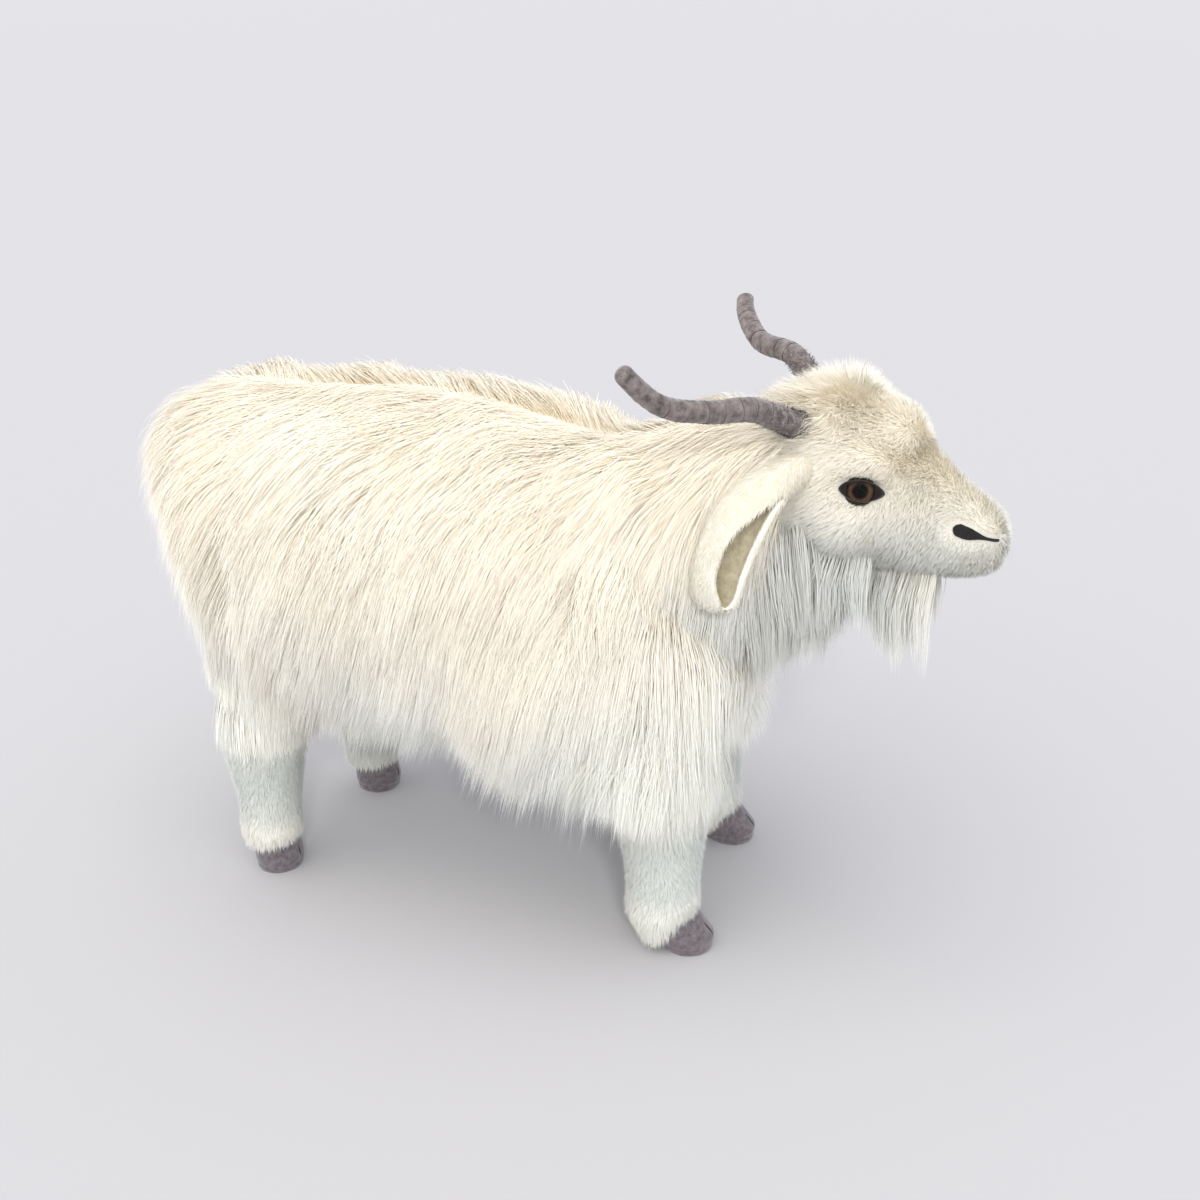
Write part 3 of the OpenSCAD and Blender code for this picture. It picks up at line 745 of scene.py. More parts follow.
def pile(name, skin, field, density, keep, comb, length, zone, material, slot, seed, segs=6, width=0.5,
         locks=(14, 0.32, 160, 0.28), order=0.26, grain=26.0, facing_flat=0.16,
         mottle=0.13, lit=None, uneven=0.12, **how):
    """Hair on part of a skin, as one object. locks: hairs and pull of the small and of the large locks."""
    rng = np.random.default_rng(seed)
    root, normal = skin.sample(density, rng, keep)
    clear = np.asarray(keep(root, normal), float) > 0.02
    root, normal = root[clear], normal[clear]
    way = unit(comb(root, normal)) + order * drift(root, rng, grain)
    long = length(root, normal) * (1 + uneven * rng.normal(0, 1, len(root)).clip(-2, 2))
    how = {k: v(root, normal) if callable(v) else v for k, v in how.items()}
    path = grow(root, normal, way, long, rng, field, segs=segs, **how)
    small, pull, large, sweep = locks
    if pull:
        path = gather(path, rng, small, pull)
    if sweep:
        path = gather(path, rng, large, sweep, tight=0.6)
    path = hang_close(path)
    outward = field.look(path[:, segs // 2])[1] if field is not None else normal
    if lit is not None:
        outward = unit(lit(path[:, segs // 2]))
    shade = zone(path.reshape(-1, 3)).reshape(path.shape[:2]) + mottle * drift(root, rng, 34.0)[:, :1]
    o = hair_object(name, path, outward, width, np.clip(shade, 0, 1), rng, facing_flat)
    paint(o, material)
    return o


def coat_comb(p, n):
    """The way the coat is combed: back along the ridge, then down and back over the sides."""
    x, y, z = p.T
    front = step(x, 35, 90)
    rear = np.maximum(step(-x, 105, 175), step(-x, 80, 130) * (1 - step(z, 150, 205)))
    side = np.sign(y) + 0.001
    down = ways(p, -0.65 + 0.3 * front + 1.05 * rear, 0.22 * side * (1 - rear), -1)
    along = ways(p, -1, 0.65 * side, -0.25)
    below = ways(p, 0.2 * rear - 0.5 * (1 - rear) * (1 - front), 0, -0.4 - 0.6 * rear)
    ridge = step(n[:, 2], 0.35, 0.95)[:, None]
    under = step(-n[:, 2], 0.5, 0.95)[:, None]
    return (down * (1 - ridge) + along * ridge) * (1 - under) + below * under


def coat_thick(p, n):
    """How far out the coat's outermost hairs lie: least on the rump, the ridge, the chest and over the thighs."""
    x, _, z = p.T
    chest = step(x, 40, 80) * (1 - step(z, 110, 150))
    low_rear = step(-x, 120, 160) * (1 - step(z, 130, 180))
    return 13 - 8 * step(-n[:, 0], 0.2, 0.8) - 5 * step(n[:, 2], 0.5, 0.95) - 10 * np.maximum(chest, low_rear)


def coat_hug(p, n):
    """How much the coat keeps to the body where the chest, rump and thighs draw in below."""
    x, _, z = p.T
    low_rear = 1.3 * step(-x, 100, 140) * (1 - step(z, 150, 200))
    return 0.55 * np.maximum(np.maximum(step(-x, 145, 180), step(x, 70, 92)), low_rear)


def coat_lift(p, n):
    return 0.1 + 0.5 * np.clip(coat_thick(p, n), 0, 13) / 13


def coat_length(p, n):
    """Long where the skirt drapes by the legs, shorter on the ridge and over the thighs."""
    x, _, z = p.T
    by_leg = (1 - step(z, 150, 205)) * np.maximum(step(x, -15, 32), step(-x, 90, 130))
    draped = np.clip((z - 66) * 1.05, 34, 74 - 16 * step(-x, 150, 180) - 14 * step(x, 60, 90))
    thigh = step(-x, 100, 135) * (1 - step(z, 120, 165))
    return ((42 - 8 * step(n[:, 2], 0.6, 1.0)) * (1 - by_leg) + draped * by_leg) * (1 - 0.5 * thigh)


# Painted shade: the coat's colour zone rises with height, so hair low on the body and on the leg skirts takes the
# greyer shaded colour.
def coat_shade_zone(p):
    return 0.25 + 0.60 * step(p[:, 2], 70, 225)


def coat():
    spans = (("rear", -220, -110), ("middle", -110, -25), ("front", -25, 130))
    for side, which in SIDES:
        for k, (part, x0, x1) in enumerate(spans):
            def keep(p, n):
                here = (side * p[:, 1] >= 0) & (p[:, 0] >= x0) & (p[:, 0] < x1)
                return here * ~near_leg(p) * ~on_neck(p) * (1 - 0.7 * step(-n[:, 2], 0.55, 0.9))
            o = pile(f"coat_{which}_{part}", BODY, FIELD, 1.35, keep, coat_comb, coat_length, coat_shade_zone, LONG,
                     "long_pile", 20 * k + (side > 0), segs=4, width=0.3, lift=coat_lift, fall=0.42,
                     thick=coat_thick, hug=coat_hug, wave=0.32, fray=0.10)
            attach(o, "torso")


def neck_comb(p, n):
    """The neck's hair runs back over the nape and hangs down at the sides."""
    side = np.sign(p[:, 1]) + 0.001
    top = step(n[:, 2], 0.1, 0.9)[:, None]
    back = ways(p, -1, 0.30 * side, -0.30)
    down = ways(p, -0.30 - 0.45 * step(p[:, 0], 88, 112), 0.10 * side, -1)
    return back * top + down * (1 - top)


def neck_length(p, n):
    return 44 - 8 * step(n[:, 2], 0.4, 1.0) + 4 * step(-n[:, 2], 0.2, 0.8) - 12 * step(p[:, 0], 96, 110)


def neck_coat():
    for side, which in SIDES:
        def keep(p, n):
            return (side * p[:, 1] >= 0) & on_neck(p) & (n[:, 0] < 0.9) & (p[:, 0] < 114)
        # Painted shade: the neck hair's colour zone rises with height, so it is greyer low on the neck.
        o = pile(f"neck_{which}", BODY, FIELD, 1.6, keep, neck_comb, neck_length,
                 lambda p: 0.15 + 0.75 * step(p[:, 2], 150, 225), LONG, "long_pile", 61 + (side > 0),
                 segs=4, width=0.3, lift=0.5, fall=0.5, thick=10.0, wave=0.22, fray=0.09)
        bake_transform(o)
    # Painted shade: the throat mane takes the darker wispy colour and is darkest along the middle, under the throat.
    o = pile("throat_mane_hair", BODY, FIELD, 0.9, lambda p, n: on_neck(p) & (n[:, 2] < -0.1) & (p[:, 0] > 88),
             lambda p, n: ways(p, 0.25, 0.12 * np.sign(p[:, 1]), -1), lambda p, n: np.full(len(p), 48.0),
             lambda p: 0.15 + 0.4 * step(np.abs(p[:, 1]), 0, 25), SHADED_WISPY, "wispy_pile",
             67, width=0.36, lift=0.8, fall=0.8, thick=12.0, wave=0.2, fray=0.12, locks=(12, 0.45, 140, 0.5))
    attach(o, "neck")


def leg_hair():
    for k, (name, leg) in enumerate(LEGS.items()):
        fore = name.startswith("fore")

        def from_axis(p):
            return off_axis(leg, p)

        def mine(p):
            return np.hypot(*from_axis(p)[:, :2].T) < leg["r"][0] + LEG_ROOM

        def skirt_keep(p, n):
            return mine(p) & (p[:, 2] < 104) & (p[:, 2] > (64 if fore else 66)) & (n[:, 2] > -0.8)

        def skirt_comb(p, n):
            out = from_axis(p)
            return ways(p, 0.010 * out[:, 0] - 0.12 * fore, 0.010 * out[:, 1], -1)

        o = pile(f"{name}_skirt", BODY, FIELD, 1.1, skirt_keep, skirt_comb,
                 lambda p, n: np.clip(p[:, 2] - 66, 9, 34), coat_shade_zone, LONG, "long_pile", 80 + k,
                 segs=5, width=0.36, lift=0.15, fall=0.5, thick=2.6, wave=0.15, fray=0.1, locks=(16, 0.45, 120, 0.3))
        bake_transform(o)

        def sleeve_keep(p, n):
            return mine(p) & (p[:, 2] < 72) & (n[:, 2] > -0.75)

        shape = mesh_object("leg_shape", *SHAPES[name])
        skin = Skin(shape)
        bpy.data.objects.remove(shape)
        # Painted shade: the sleeve pile stays near the greyer low colour and is darkest at mid shin, so the legs look
        # shaded under the body.
        o = pile(f"{name}_pile", skin, None, 3.4, sleeve_keep,
                 lambda p, n: ways(p, 0.1 * n[:, 0], 0.1 * n[:, 1], -1),
                 lambda p, n: 4.6 + 4.0 * step(p[:, 2], 44, 66) + 1.6 * step(-p[:, 2], -34, -18),
                 lambda p: 0.05 + 0.3 * step(p[:, 2], 45, 75) + 0.3 * step(-p[:, 2], -34, -20), SHORT,
                 "short_pile", 90 + k, segs=2, width=0.32, lift=0.6, fall=0.3, fray=0.16, locks=(10, 0.25, 60, 0))
        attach(o, name)


def eye_reach(p):
    """How far from the nearer eye's opening a point lies: below 1 is inside."""
    out = np.full(len(p), 9.0)
    for s in (-1, 1):
        centre, ahead, up, _ = eye_axes(s)
        q = p - centre
        reach = np.hypot((q @ ahead) / 9.6, (q @ up) / 4.9)
        out = np.where(p[:, 1] * s > 8, np.minimum(out, reach), out)
    return out


def face_comb(p, n):
    """Short fur lies back from the nose, and away from the eyes and nostrils."""
    x, y, _ = p.T
    way = ways(p, -1, 0.15 * np.sign(y), -0.45 + 0.9 * step(n[:, 2], 0.2, 0.9) * step(x, 155, 175))
    for s in (-1, 1):
        centre, ahead, _, _ = eye_axes(s)
        near = (np.exp(-np.clip(eye_reach(p) - 1, 0, None) / 0.5) * (y * s > 8))[:, None]
        way = way * (1 - near) + unit(p - centre - 3.6 * ahead) * near
    front = np.nonzero(x > MUZZLE)[0]
    for s in (-1, 1):
        line = slit_points(s)[0]
        nearest = line[np.linalg.norm(p[front, None] - line[None], axis=2).argmin(1)]
        near = np.exp(-(np.clip(slit_gap(p[front], s), 0, None) / 2.6) ** 2)[:, None]
        way[front] = way[front] * (1 - near) + unit(p[front] - nearest) * near
    return way


def near_slit(p, reach):
    """0 beside a nostril, 1 from reach mm away."""
    share = np.ones(len(p))
    front = np.nonzero(p[:, 0] > MUZZLE)[0]
    for side in (-1, 1):
        share[front] = np.minimum(share[front], np.clip(slit_gap(p[front], side) / reach, 0, 1))
    return share


def face_length(p, n):
    x, _, z = p.T
    back = step(-x, -146, -122)
    muzzle = step(x, 165, 195)
    brow = step(z, 232, 246) * step(-x, -168, -150)
    eye = np.clip((eye_reach(p) - 1) / 0.9, 0, 1)
    nose = np.maximum(near_slit(p, 3.0), 0.22)
    return (4.8 + 2.5 * back - 1.8 * muzzle + 1.2 * brow) * (0.4 + 0.6 * eye) * nose


def face_thick(p, n):
    return 0.1 + 2.9 * near_slit(p, 6.0)


def face_lift(p, n):
    return 0.05 + 0.43 * near_slit(p, 5.0)


# Painted shade: the face's colour zone rises with height, so the jaw and the underside of the muzzle take the greyer
# shaded colour; the front of the nose is a little lighter.
def face_shade_zone(p):
    return np.clip(0.12 + 0.78 * step(p[:, 2], 183, 228) + 0.1 * step(p[:, 0], 180, 200), 0, 1)


def slit_points(side, n=40):
    """The line of a nostril, on the head's skin: points and normals."""
    line = [(183.5, 16.4, 203.4), (188.5, 15.6, 201.3), (194, 14, 199.9), (200.5, 11, 198.3)]
    return on_head(curve(line, np.linspace(0, 1, n)) * (1, side, 1))


def lip_points(side, n=50):
    line = [(205, 0.4, 187.4), (202, 7.5, 187), (196, 12.5, 186.2), (188, 14.5, 185)]
    return on_head(curve(line, np.linspace(0, 1, n)) * (1, side, 1))


def on_head(points):
    at, nor = [], []
    for p in points:
        co, normal, _, _ = HEAD.bvh.find_nearest(p.tolist())
        at.append(co)
        nor.append(normal)
    return np.array(at, float), np.array(nor, float)


def slit_half(s):
    """Half width of a nostril at each share of its length."""
    s = np.asarray(s, float)
    return 0.5 + 2.1 * np.minimum(s / 0.14, 1) ** 0.7 * (1 - step(s, 0.3, 0.85))


def slit_gap(p, side):
    """Distance of each point from the edge of a nostril."""
    line = slit_points(side)[0]
    away = np.linalg.norm(p[:, None] - line[None], axis=2) - slit_half(np.linspace(0, 1, len(line)))
    return away.min(1)


def gap_to(p, line):
    tree = KDTree(len(line))
    for i, q in enumerate(line.tolist()):
        tree.insert(q, i)
    tree.balance()
    return np.array([tree.find(q)[2] for q in p.tolist()])


def clear_of_features(p):
    """True where face fur may grow: off the eyes, nostrils and lip line."""
    ok = eye_reach(p) > 1.0
    front = np.nonzero(p[:, 0] > MUZZLE)[0]
    for side in (-1, 1):
        ok[front] &= slit_gap(p[front], side) > 0.5
        ok[front] &= gap_to(p[front], lip_points(side)[0]) > 0.45
    return ok


def head_hair():
    for side, which in SIDES:
        def keep(p, n):
            return (side * p[:, 1] >= 0) & (p[:, 0] > 113) & clear_of_features(p)
        o = pile(f"face_{which}_pile", HEAD, HEAD_FIELD, 4.4, keep, face_comb, face_length, face_shade_zone, SHORT,
                 "short_pile", 101 + (side > 0), segs=2, width=0.28, lift=face_lift, fall=0.12, thick=face_thick,
                 wave=0.1, fray=0.15, locks=(9, 0.2, 60, 0), order=0.2, grain=10.0, facing_flat=0.22, mottle=0.1)
        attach(o, "head")

    def crown_keep(p, n):
        x, y, _ = p.T
        edge = step(np.abs(y), 12, 23) + step(x, 134, 156)
        thinning = np.clip(1 - 0.8 * edge, 0, 1) * (1 - step(x, 148, 166))
        return (n[:, 2] > 0.2) * (x > 113) * (np.abs(y) < 24) * thinning

    o = pile("crown_hair", HEAD, None, 3.2, crown_keep,
             lambda p, n: ways(p, (p[:, 0] - 132) * 0.02 - 0.15, p[:, 1] * 0.03, 0.1),
             lambda p, n: 14 - 9 * step(p[:, 0], 132, 156) + 2 * step(-p[:, 0], -128, -114),
             lambda p: 0.6 + 0.2 * step(-p[:, 0], -140, -120), LONG, "long_pile", 111, segs=4, width=0.22,
             lift=lambda p, n: 1.0 - 0.7 * step(p[:, 0], 136, 158), fall=0.16, wave=0.35, fray=0.2,
             locks=(14, 0.35, 90, 0.2), order=0.4, grain=14.0)
    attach(o, "head")

    # Painted shade: the cheek hair is greyer low down.
    o = pile("cheek_hair", HEAD, HEAD_FIELD, 1.1,
             lambda p, n: (p[:, 0] < 116) & (p[:, 0] > 108.5) & (n[:, 2] < 0.75),
             lambda p, n: ways(p, -1, 0.1 * np.sign(p[:, 1]), -1.0 + 1.2 * step(p[:, 2], 200, 240)),
             lambda p, n: 12 + 14 * step(-p[:, 0], -118, -109), lambda p: 0.2 + 0.65 * step(p[:, 2], 180, 235), LONG,
             "long_pile", 113, segs=5, lift=0.35, fall=0.35, thick=6.0, wave=0.2, fray=0.15)
    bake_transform(o)

    # Painted shade: the beard and jaw hair take the darker wispy colour, and the beard is darkest at its back, under
    # the jaw.
    o = pile("beard_hair", HEAD, None, 2.6,
             lambda p, n: (n[:, 2] < -0.5) & (p[:, 0] > 138) & (p[:, 0] < 178) & (np.abs(p[:, 1]) < 13.5),
             lambda p, n: ways(p, 0.10 + (p[:, 0] - 163) * 0.003, -p[:, 1] * 0.012, -1),
             lambda p, n: 24 + 16 * step(p[:, 0], 146, 164), lambda p: 0.2 + 0.5 * step(p[:, 0], 150, 180), SHADED_WISPY,
             "wispy_pile", 117, segs=6, width=0.25, lift=3.0, fall=0.8, wave=0.25, fray=0.16, uneven=0.28,
             locks=(12, 0.45, 110, 0.5), order=0.25, lit=lambda p: ways(p, (p[:, 0] - 158) / 18, p[:, 1] / 10, -0.1))
    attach(o, "head")
    o = pile("jaw_hair", HEAD, None, 1.8,
             lambda p, n: (n[:, 2] < -0.6) & (p[:, 0] > 110) & (p[:, 0] < 152) & (p[:, 2] < 194),
             lambda p, n: ways(p, -0.15, 0.15 * np.sign(p[:, 1]), -1),
             lambda p, n: 28 + 24 * step(-p[:, 0], -148, -126), lambda p: np.full(len(p), 0.25), SHADED_WISPY, "wispy_pile",
             119, segs=5, width=0.28, lift=1.2, fall=0.8, wave=0.2, fray=0.16, uneven=0.25,
             locks=(12, 0.45, 90, 0.5), lit=lambda p: ways(p, 0.3, p[:, 1] / 12, -0.1))
    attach(o, "head")


def tail():
    _, _, mid = place("tail")
    rows = [(211, -178, 2.5, 4), (206, -187, 3, 4.5), (198, -190, 4, 6), (186, -191.5, 4, 6.5),
            (174, -192.5, 3, 5), (166, -193, 1.4, 2.4)]      # z, x, half depth, half width
    core = mesh_object("tail_core", *tube([ring((x, mid[1], z), (-r, 0, 0), (0, w, 0), 16) for z, x, r, w in rows]))
    skin = Skin(core)
    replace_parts(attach(paint(core, BACKING), "tail"), "tail")
    # Painted shade: the tail hair is a little greyer lower down.
    o = pile("tail_hair", skin, None, 3.2, lambda p, n: np.ones(len(p)),
             lambda p, n: ways(p, 0.12, 0.02 * p[:, 1], -1),
             lambda p, n: 12 + 10 * step(p[:, 2], 165, 200), lambda p: 0.6 + 0.2 * step(p[:, 2], 165, 205), LONG,
             "long_pile", 131, width=0.36, lift=0.12, fall=0.4, wave=0.2, fray=0.12, locks=(12, 0.4, 90, 0.3))
    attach(o, "tail")


# ---------------------------------------------------------------- skins and fillings

BACKING = cloth_material("pile_base", (246, 242, 232), (254, 252, 246), 220.0, bump=0.3)
FACE_BASE = cloth_material("short_pile_base", (206, 200, 186), (224, 218, 205), 220.0, bump=0.3)
FILLING = cloth_material("filling", (226, 228, 230), (250, 250, 248), 90.0, bump=0.8, sheen=0.1)
HORN = cloth_material("horn_cloth", (70, 62, 62), (142, 130, 126), 260.0, bump=0.6, sheen=0.35, detail=8.0)
RING = cloth_material("horn_thread", (62, 54, 54), (92, 82, 80), 900.0, bump=0.4, sheen=0.2)
HOOF = cloth_material("hoof_cloth", (82, 75, 78), (124, 115, 117), 420.0, bump=0.5, sheen=0.4, detail=8.0)
HOOF_THREAD = cloth_material("hoof_thread", (46, 40, 42), (74, 66, 68), 900.0, bump=0.4)
# The ear lining's own beige, darkened as painted shade of the deep fold.
LINING = cloth_material("ear_lining", (160, 149, 122), (194, 184, 156), 300.0, bump=0.4)
LID = cloth_material("lid_cloth", (13, 10, 9), (32, 25, 21), 900.0, bump=0.4)
BLACK = cloth_material("black_thread", (14, 13, 14), (40, 36, 36), 1400.0, bump=0.4, sheen=0.25)
LIP = cloth_material("mouth_thread", (150, 132, 112), (190, 172, 150), 1200.0, bump=0.3)
PALE = cloth_material("pale_thread", (214, 210, 200), (240, 237, 230), 1200.0, bump=0.3)


STEEL = plain_material("frame_wire", (128, 132, 136), (176, 180, 184), 300.0, 0.32, 1.0, (1, 1, 8))
BLACK_PLASTIC = plain_material("eye_plastic", (12, 12, 12), (24, 23, 22), 400.0, 0.2)
WASHER = plain_material("washer_plastic", (206, 206, 200), (226, 226, 222), 400.0, 0.45)


def skins():
    torso = hollow("torso_fabric", SHAPES["torso"], tube(body_rings(CLOTH)))
    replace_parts(torso, "coat_left", "coat_right", "belly_panel")
    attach(paint(torso, BACKING), "torso")
    stuffing("torso", tube(body_rings(FILL_GAP)))
    neck = hollow("neck_fabric", SHAPES["neck"], tube(neck_rings(CLOTH)))
    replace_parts(neck, "neck_coat", "throat_mane")
    paint(neck, BACKING)
    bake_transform(neck)
    stuffing("neck", tube(neck_rings(FILL_GAP)[4:]))
    for name, leg in LEGS.items():
        o = hollow(f"{name}_fabric", SHAPES[name], tube(leg_rings(leg, CLOTH)))
        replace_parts(o, f"{name}_cuff", f"{name}_sleeve")
        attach(paint(o, BACKING), name)
        stuffing(name, tube(leg_rings(leg, FILL_GAP)))
    face = hollow("face_fabric", shrunk(head, 0.0), shrunk(head, CLOTH))
    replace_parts(face, "face_left", "face_right", "forehead_gusset", "crown_tuft", "beard")
    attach(paint(face, FACE_BASE), "head")
    stuffing("head", shrunk(head, FILL_GAP))
    bpy.data.objects.remove(head)


def stuffing(body, shape):
    """Loose fibre filling: a closed soft solid with a lumpy surface."""
    o = mesh_object(f"{body}_fibre", *shape)
    p = points_of(o)
    lumps = np.abs(drift(p, np.random.default_rng(7), 7.0)[:, :1])
    set_points(o, p - normals_of(o) * lumps * 0.5)
    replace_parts(o, f"{body}_stuffing")
    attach(paint(o, FILLING), body)


# ---------------------------------------------------------------- small parts

def sweep(points, radii, sides):
    """(points, faces) of a round bar along a row of points."""
    t = directions(points)
    start = np.cross(t[0], [0, 0, 1.0])
    if np.linalg.norm(start) < 0.1:
        start = np.cross(t[0], [1.0, 0, 0])
    u = unit(start)
    rings = []
    for p, d, r in zip(points, t, radii):
        u = unit(u - d * (u @ d))
        rings.append(ring(p, u * r, np.cross(d, u) * r, sides))
    return tube(rings)


HORN_LINES = {
    1: [(121, 14, 240), (115.5, 27, 246.5), (103, 43, 254), (86, 57.2, 255), (75.5, 72.5, 262.7), (72.7, 81.6, 269)],
    -1: [(121, 14, 240), (116, 27, 245), (103.5, 43, 254), (89, 57.5, 256), (73.5, 73, 262), (60, 83, 277.5)]}
RINGS_AT = (0.21, 0.27, 0.34, 0.41, 0.47, 0.55, 0.62, 0.70, 0.78)       # shares of the horn's length
RING_DEPTH = 0.16        # how far in mm each thread pulls the horn in


def horn_radius(t):
    """Radius of a horn at each share of its length."""
    return (11 - 3.4 * t ** 1.6) / 2 * 0.98


def horns():
    for side, which in SIDES:
        def line(t):
            return curve(HORN_LINES[side], t) * np.array([1, side, 1])

        t = np.linspace(0, 1, 150)
        radius = horn_radius(t) * np.sqrt(np.clip(1 - np.clip((t - 0.955) / 0.045, 0, 1) ** 2, 0.002, 1))
        for at in RINGS_AT:
            radius -= RING_DEPTH * np.exp(-((t - at) / 0.006) ** 2)
        radius += 0.09 * np.sin(t * 210) * (t < 0.9)
        shape = sweep(line(t), radius, 28)
        o = mesh_object(f"horn_{which}", *shape)
        skin = Skin(o)
        p = points_of(o)
        set_points(o, p + normals_of(o) * drift(p, np.random.default_rng(31 + side), 4.0)[:, :1] * 0.12)
        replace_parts(o, f"horn_cover_{which}")
        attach(paint(o, HORN), "head")

        threads = []
        for at in RINGS_AT:
            d = unit(line(at + 0.01) - line(at - 0.01))
            u = unit(np.cross(d, [0, 0, 1.0]))
            r = horn_radius(at) - RING_DEPTH
            a = np.linspace(0, 2 * math.pi, 40, endpoint=False)[:, None]
            loop = ring(line(at), r * u, r * np.cross(d, u), 40) + d * 0.25 * np.sin(2 * a + at * 40)
            threads.append(loop_thread(loop, 0.17))
        o = joined(f"horn_threads_{which}", threads)
        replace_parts(o, f"horn_rings_{which}")
        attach(paint(o, RING), "head")

        def from_root(p):
            return np.linalg.norm(p - np.array(HORN_LINES[side][0]) * np.array([1, side, 1]), axis=1)

        def mottled(p):
            return np.clip(0.9 - from_root(p) / 32 + 0.6 * drift(p, np.random.default_rng(5), 3.0)[:, 0], 0, 1)

        o = pile(f"horn_fuzz_{which}", skin, None, 4.5,
                 lambda p, n: np.clip(1.15 - from_root(p) / 34, 0.0, 1) ** 1.5,
                 lambda p, n: ways(p, -0.6, 0.6 * side, 0.3), lambda p, n: np.full(len(p), 1.6), mottled,
                 HORN_FUZZ, "horn_cloth", 140 + side, segs=2, width=0.35, lift=0.7, fall=0.0, fray=0.4,
                 locks=(8, 0, 60, 0))
        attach(o, "head")


HORN_FUZZ = hair_material("horn_fuzz", (72, 64, 62), (128, 118, 114), (206, 200, 190), (150, 140, 136))


def loop_thread(loop, r, sides=6):
    """(points, faces) of a thread that closes on itself."""
    n = len(loop)
    t = unit(np.roll(loop, -1, 0) - np.roll(loop, 1, 0))
    middle = loop.mean(0)
    verts = []
    for p, d in zip(loop, t):
        u = unit(p - middle - d * ((p - middle) @ d))
        verts.append(ring(p, u * r, np.cross(d, u) * r, sides))
    return facing_out(np.concatenate(verts), round_faces(n, sides))


# EAR_PILE is a darker, creamier copy of the short pile: the pile's cream tone plus painted shade that tones down the
# light on the ears. Its zone makes the lower ear greyer.
EAR_PILE = hair_material("ear_pile", (228, 228, 219), (236, 232, 218), (243, 237, 220), (250, 247, 238))
EAR_PATH = [(124.5, 22.5, 228), (112, 38, 222.5), (101.5, 46.5, 209), (94.8, 51, 190), (93, 53.5, 171)]

EAR_TURN = math.radians(-14)


def ear_frame(side, t):
    """(centre, forward, outward) on an ear's line."""
    flip = np.array([1, side, 1])
    at = curve(EAR_PATH, t) * flip
    d = unit((curve(EAR_PATH, min(t + 0.02, 1)) - curve(EAR_PATH, max(t - 0.02, 0))) * flip)
    out = np.array([0, side, 0.0])
    out = unit(out - d * (out @ d))
    ahead = np.cross(d, out) * (1 if np.cross(d, out)[0] > 0 else -1)
    c, s = math.cos(EAR_TURN), math.sin(EAR_TURN)
    return at, c * ahead - s * out, c * out + s * ahead


def ear_size(t):
    """Half width and half depth of a folded ear."""
    w = 5.8 + 6.6 * step(t, 0.0, 0.6) - 1.2 * step(t, 0.7, 0.97)
    close = math.sqrt(max(1 - max((t - 0.84) / 0.16, 0) ** 2.2, 0.004))
    return w * close, (5.0 + 0.8 * math.sin(math.pi * t)) * close


def ear_arc(side, t, inset, n, spread=0.0):
    """Points of one side of the folded wall, from the rear rim round the inner side to the front rim."""
    at, ahead, out = ear_frame(side, t)
    w, h = ear_size(t)
    fold = 28 + 60 * step(t, 0.12, 0.7) - 34 * step(t, 0.8, 1.0)
    a0, a1 = math.radians(fold - spread), math.radians(380 + spread)
    angles = np.linspace(a0, a1, n)[:, None]
    return at + np.cos(angles) * ahead * max(w - inset, 0.3) + np.sin(angles) * out * max(h - inset, 0.3)


def ear_wall(side, stations, outer, inner, n, spread=0.0):
    """(points, faces) of a folded wall between two depths under the ear's outside, the inner one for each station."""
    rings = []
    for t, depth in zip(stations, inner):
        loop = np.concatenate([ear_arc(side, t, outer, n, spread), ear_arc(side, t, depth, n, spread)[::-1]])
        rings.append(loop if side > 0 else loop[::-1])
    return tube(rings)


def ears():
    for side, which in SIDES:
        t = np.linspace(0, 1, 46)
        wall = ear_wall(side, t, 0.0, np.where(t > 0.1, 2.6, 2.2), 22)
        back = voxelled(mesh_object(f"ear_{which}", *wall), 0.8, smooth=5, factor=0.5)
        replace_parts(back, f"ear_back_{which}")
        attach(paint(back, BACKING), f"ear_{which}")
        skin = Skin(back)
        lining = mesh_object(f"ear_lining_{which}_cloth",
                             *ear_wall(side, np.linspace(0.1, 0.985, 40), 2.7, np.full(40, 3.5), 16, -14))
        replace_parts(lining, f"ear_lining_{which}")
        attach(paint(lining, LINING), f"ear_{which}")
        line = curve(EAR_PATH, np.linspace(0, 1, 60)) * np.array([1, side, 1])

        def outside(p, n):
            near = np.array([line[np.argmin(((line - q) ** 2).sum(1))] for q in p])
            return (((p - near) * n).sum(1) > 0.25) * 1.0

        o = pile(f"ear_{which}_pile", skin, None, 4.4, outside,
                 lambda p, n: ways(p, -0.25, 0.1 * side, -1), lambda p, n: 2.2 + 1.0 * step(p[:, 2], 205, 225),
                 lambda p: 0.3 + 0.4 * step(p[:, 2], 175, 220), EAR_PILE, "short_pile", 150 + side,
                 segs=2, width=0.28, lift=0.32, fall=0.1, fray=0.14, locks=(9, 0.1, 60, 0))
        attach(o, f"ear_{which}")


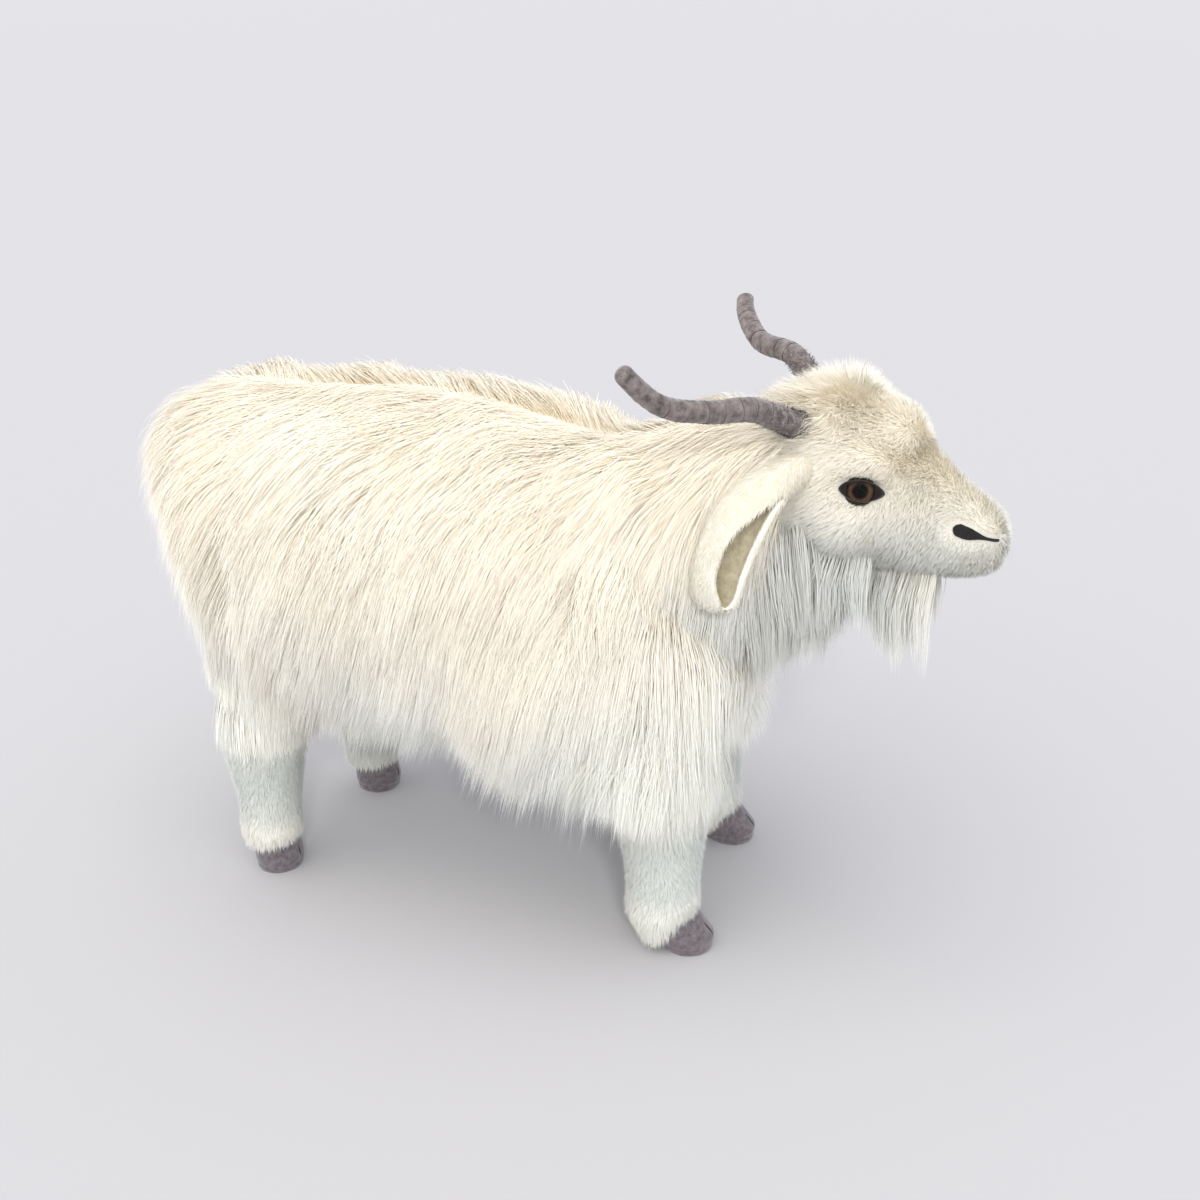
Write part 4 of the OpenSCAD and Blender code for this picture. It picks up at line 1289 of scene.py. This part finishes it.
def hooves():
    for name in LEGS:
        source = bpy.data.objects[f"{name}_hoof"]
        o = bpy.data.objects.new(f"{name}_hoof_cloth", source.data.copy())
        bpy.context.scene.collection.objects.link(o)
        o.data.transform(source.matrix_world)
        voxelled(o, 0.7, smooth=9, factor=0.6)
        _, hi, mid = place(f"{name}_hoof")
        p = points_of(o)
        p = p + drift(p, np.random.default_rng(17), 6.0) * 0.18
        seam = np.exp(-((p[:, 2] - 3.2) / 0.55) ** 2) * 0.5
        p = p - unit((p - mid) * np.array([1, 1, 0])) * seam[:, None]
        p[:, 2] = np.maximum(p[:, 2], 0.0)
        p[p[:, 2] < 0.6, 2] = 0.0
        set_points(o, p)
        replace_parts(o, f"{name}_hoof")
        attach(paint(o, HOOF), name)

        skin = Skin(o)
        line = []
        for z in np.linspace(0.62 * hi[2], 0.30 * hi[2], 14):
            hit = skin.bvh.ray_cast((hi[0] + 20, mid[1], z), (-1, 0, 0))[0]
            if hit is not None:
                line.append(np.array(hit) - np.array([0.15, 0, 0]))
        radii = 0.55 * np.sin(np.linspace(0.25, math.pi - 0.25, len(line)))
        o = mesh_object(f"{name}_toe_stitch", *sweep(np.array(line), radii, 10))
        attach(paint(o, HOOF_THREAD), name)


BALL, SUNK = 6.8, 2.2    # radius of the ball an eye's dome is part of, and how deep its centre lies
IRIS = 5.7               # radius of the iris


def eyes():
    iris, lens = iris_material(), lens_material()
    for side, which in SIDES:
        centre, ahead, up, out = eye_axes(side)
        dome = [(BALL * math.sin(e) - SUNK, BALL * math.cos(e)) for e in np.linspace(0.5, math.pi / 2 - 0.01, 18)]
        rings = [ring(centre + out * h, ahead * r, up * r, 48) for h, r in [(1.02, 0.1), (1.02, 5.9)] + dome]
        o = mesh_object(f"lens_{which}", *tube(rings))
        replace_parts(o, f"eye_lens_{which}")
        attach(paint(o, lens), "head")

        radii = np.linspace(0.02, IRIS, 16)
        disc = [(1.0 - 0.25 * (r / IRIS) ** 2, r) for r in radii] + [(0.25, IRIS - 0.1)]
        o = mesh_object(f"iris_{which}", *tube([ring(centre + out * h, ahead * r, up * r, 48) for h, r in disc]))
        layer = o.data.uv_layers.new(name="OFBake")
        corner = rows_of(o.data.loops, "vertex_index", 1, np.int32)[:, 0]
        radius = np.concatenate([np.repeat(radii / IRIS, 48), np.ones(48)])[corner]
        turn = np.tile(np.arange(48) / 48.0, 17)[corner]
        uv = np.stack([np.clip(radius, 0.01, 0.99), turn * 0.98 + 0.01], 1)
        layer.data.foreach_set("uv", uv.astype(np.float32).ravel())
        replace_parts(o, f"eye_iris_{which}")
        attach(paint(o, iris), "head")

        a = np.linspace(0, 2 * math.pi, 72, endpoint=False)
        u1, v1 = almond(a, 8.8, 10.2, 4.7, 4.3)
        u0, v0 = almond(a, 7.3, 8.4, 4.05, 3.75)
        on_dome = np.minimum(1, 5.8 / np.hypot(u0, v0))
        u0, v0 = u0 * on_dome, v0 * on_dome
        h0 = -SUNK + np.sqrt(np.clip(BALL ** 2 - u0 ** 2 - v0 ** 2, 0, None))
        rows = [(u0, v0, h0 - 0.5), (u0 * 1.01, v0 * 1.01, h0 + 0.32),
                (u0 * 0.5 + u1 * 0.5, v0 * 0.5 + v1 * 0.5, (h0 + 1.0) / 2 + 0.45), (u1, v1, 0.85 + 0 * h0),
                (u1 * 0.98, v1 * 0.98, -0.6 + 0 * h0)]
        verts = np.concatenate([centre + np.stack(row, 1) @ np.array([ahead, up, out]) for row in rows])
        o = mesh_object(f"lid_{which}", *facing_out(verts, round_faces(len(rows), len(a))))
        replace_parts(o, f"eyelid_{which}")
        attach(paint(o, LID), "head")


def stitches():
    """Nostrils in satin stitch over a pad, and a thin mouth thread."""
    parts = []
    for side in (-1, 1):
        at, nor = slit_points(side, 34)
        along = directions(at)
        pad = []
        for p, d, c, half in zip(at, nor, unit(np.cross(along, nor)), slit_half(np.linspace(0, 1, 34))):
            k = np.linspace(-1, 1, 7)[:, None]
            foot, up = on_head(p + c * half * k + d * (0.55 - 0.75 * k ** 2))
            parts.append(sweep(foot + up * 0.5, np.full(7, 0.36), 6))
            pad.append(np.concatenate([foot + up * 0.6, (foot - up * 0.4)[::-1]]))
        parts.append(tube(pad))
    o = joined("nostrils", parts)
    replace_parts(o, "nostril_stitches")
    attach(paint(o, BLACK), "head")
    parts = []
    for side in (-1, 1):
        at, nor = lip_points(side)
        parts.append(sweep(at + nor * 0.1, np.full(len(at), 0.3), 8))
    o = joined("lip_line", parts)
    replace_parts(o, "mouth_stitch")
    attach(paint(o, LIP), "head")


def hidden_parts():
    for node, material in {"spine_frame": STEEL, "neck_wire": STEEL, "horn_wire_left": STEEL, "horn_wire_right": STEEL,
                           "closing_stitches": PALE, "eye_posts": BLACK_PLASTIC, "eye_washers": WASHER}.items():
        paint(bpy.data.objects[node], material)
    for name in LEGS:
        paint(bpy.data.objects[f"{name}_wire"], STEEL)


coat()
neck_coat()
leg_hair()
head_hair()
tail()
horns()
ears()
hooves()
eyes()
stitches()
hidden_parts()
skins()
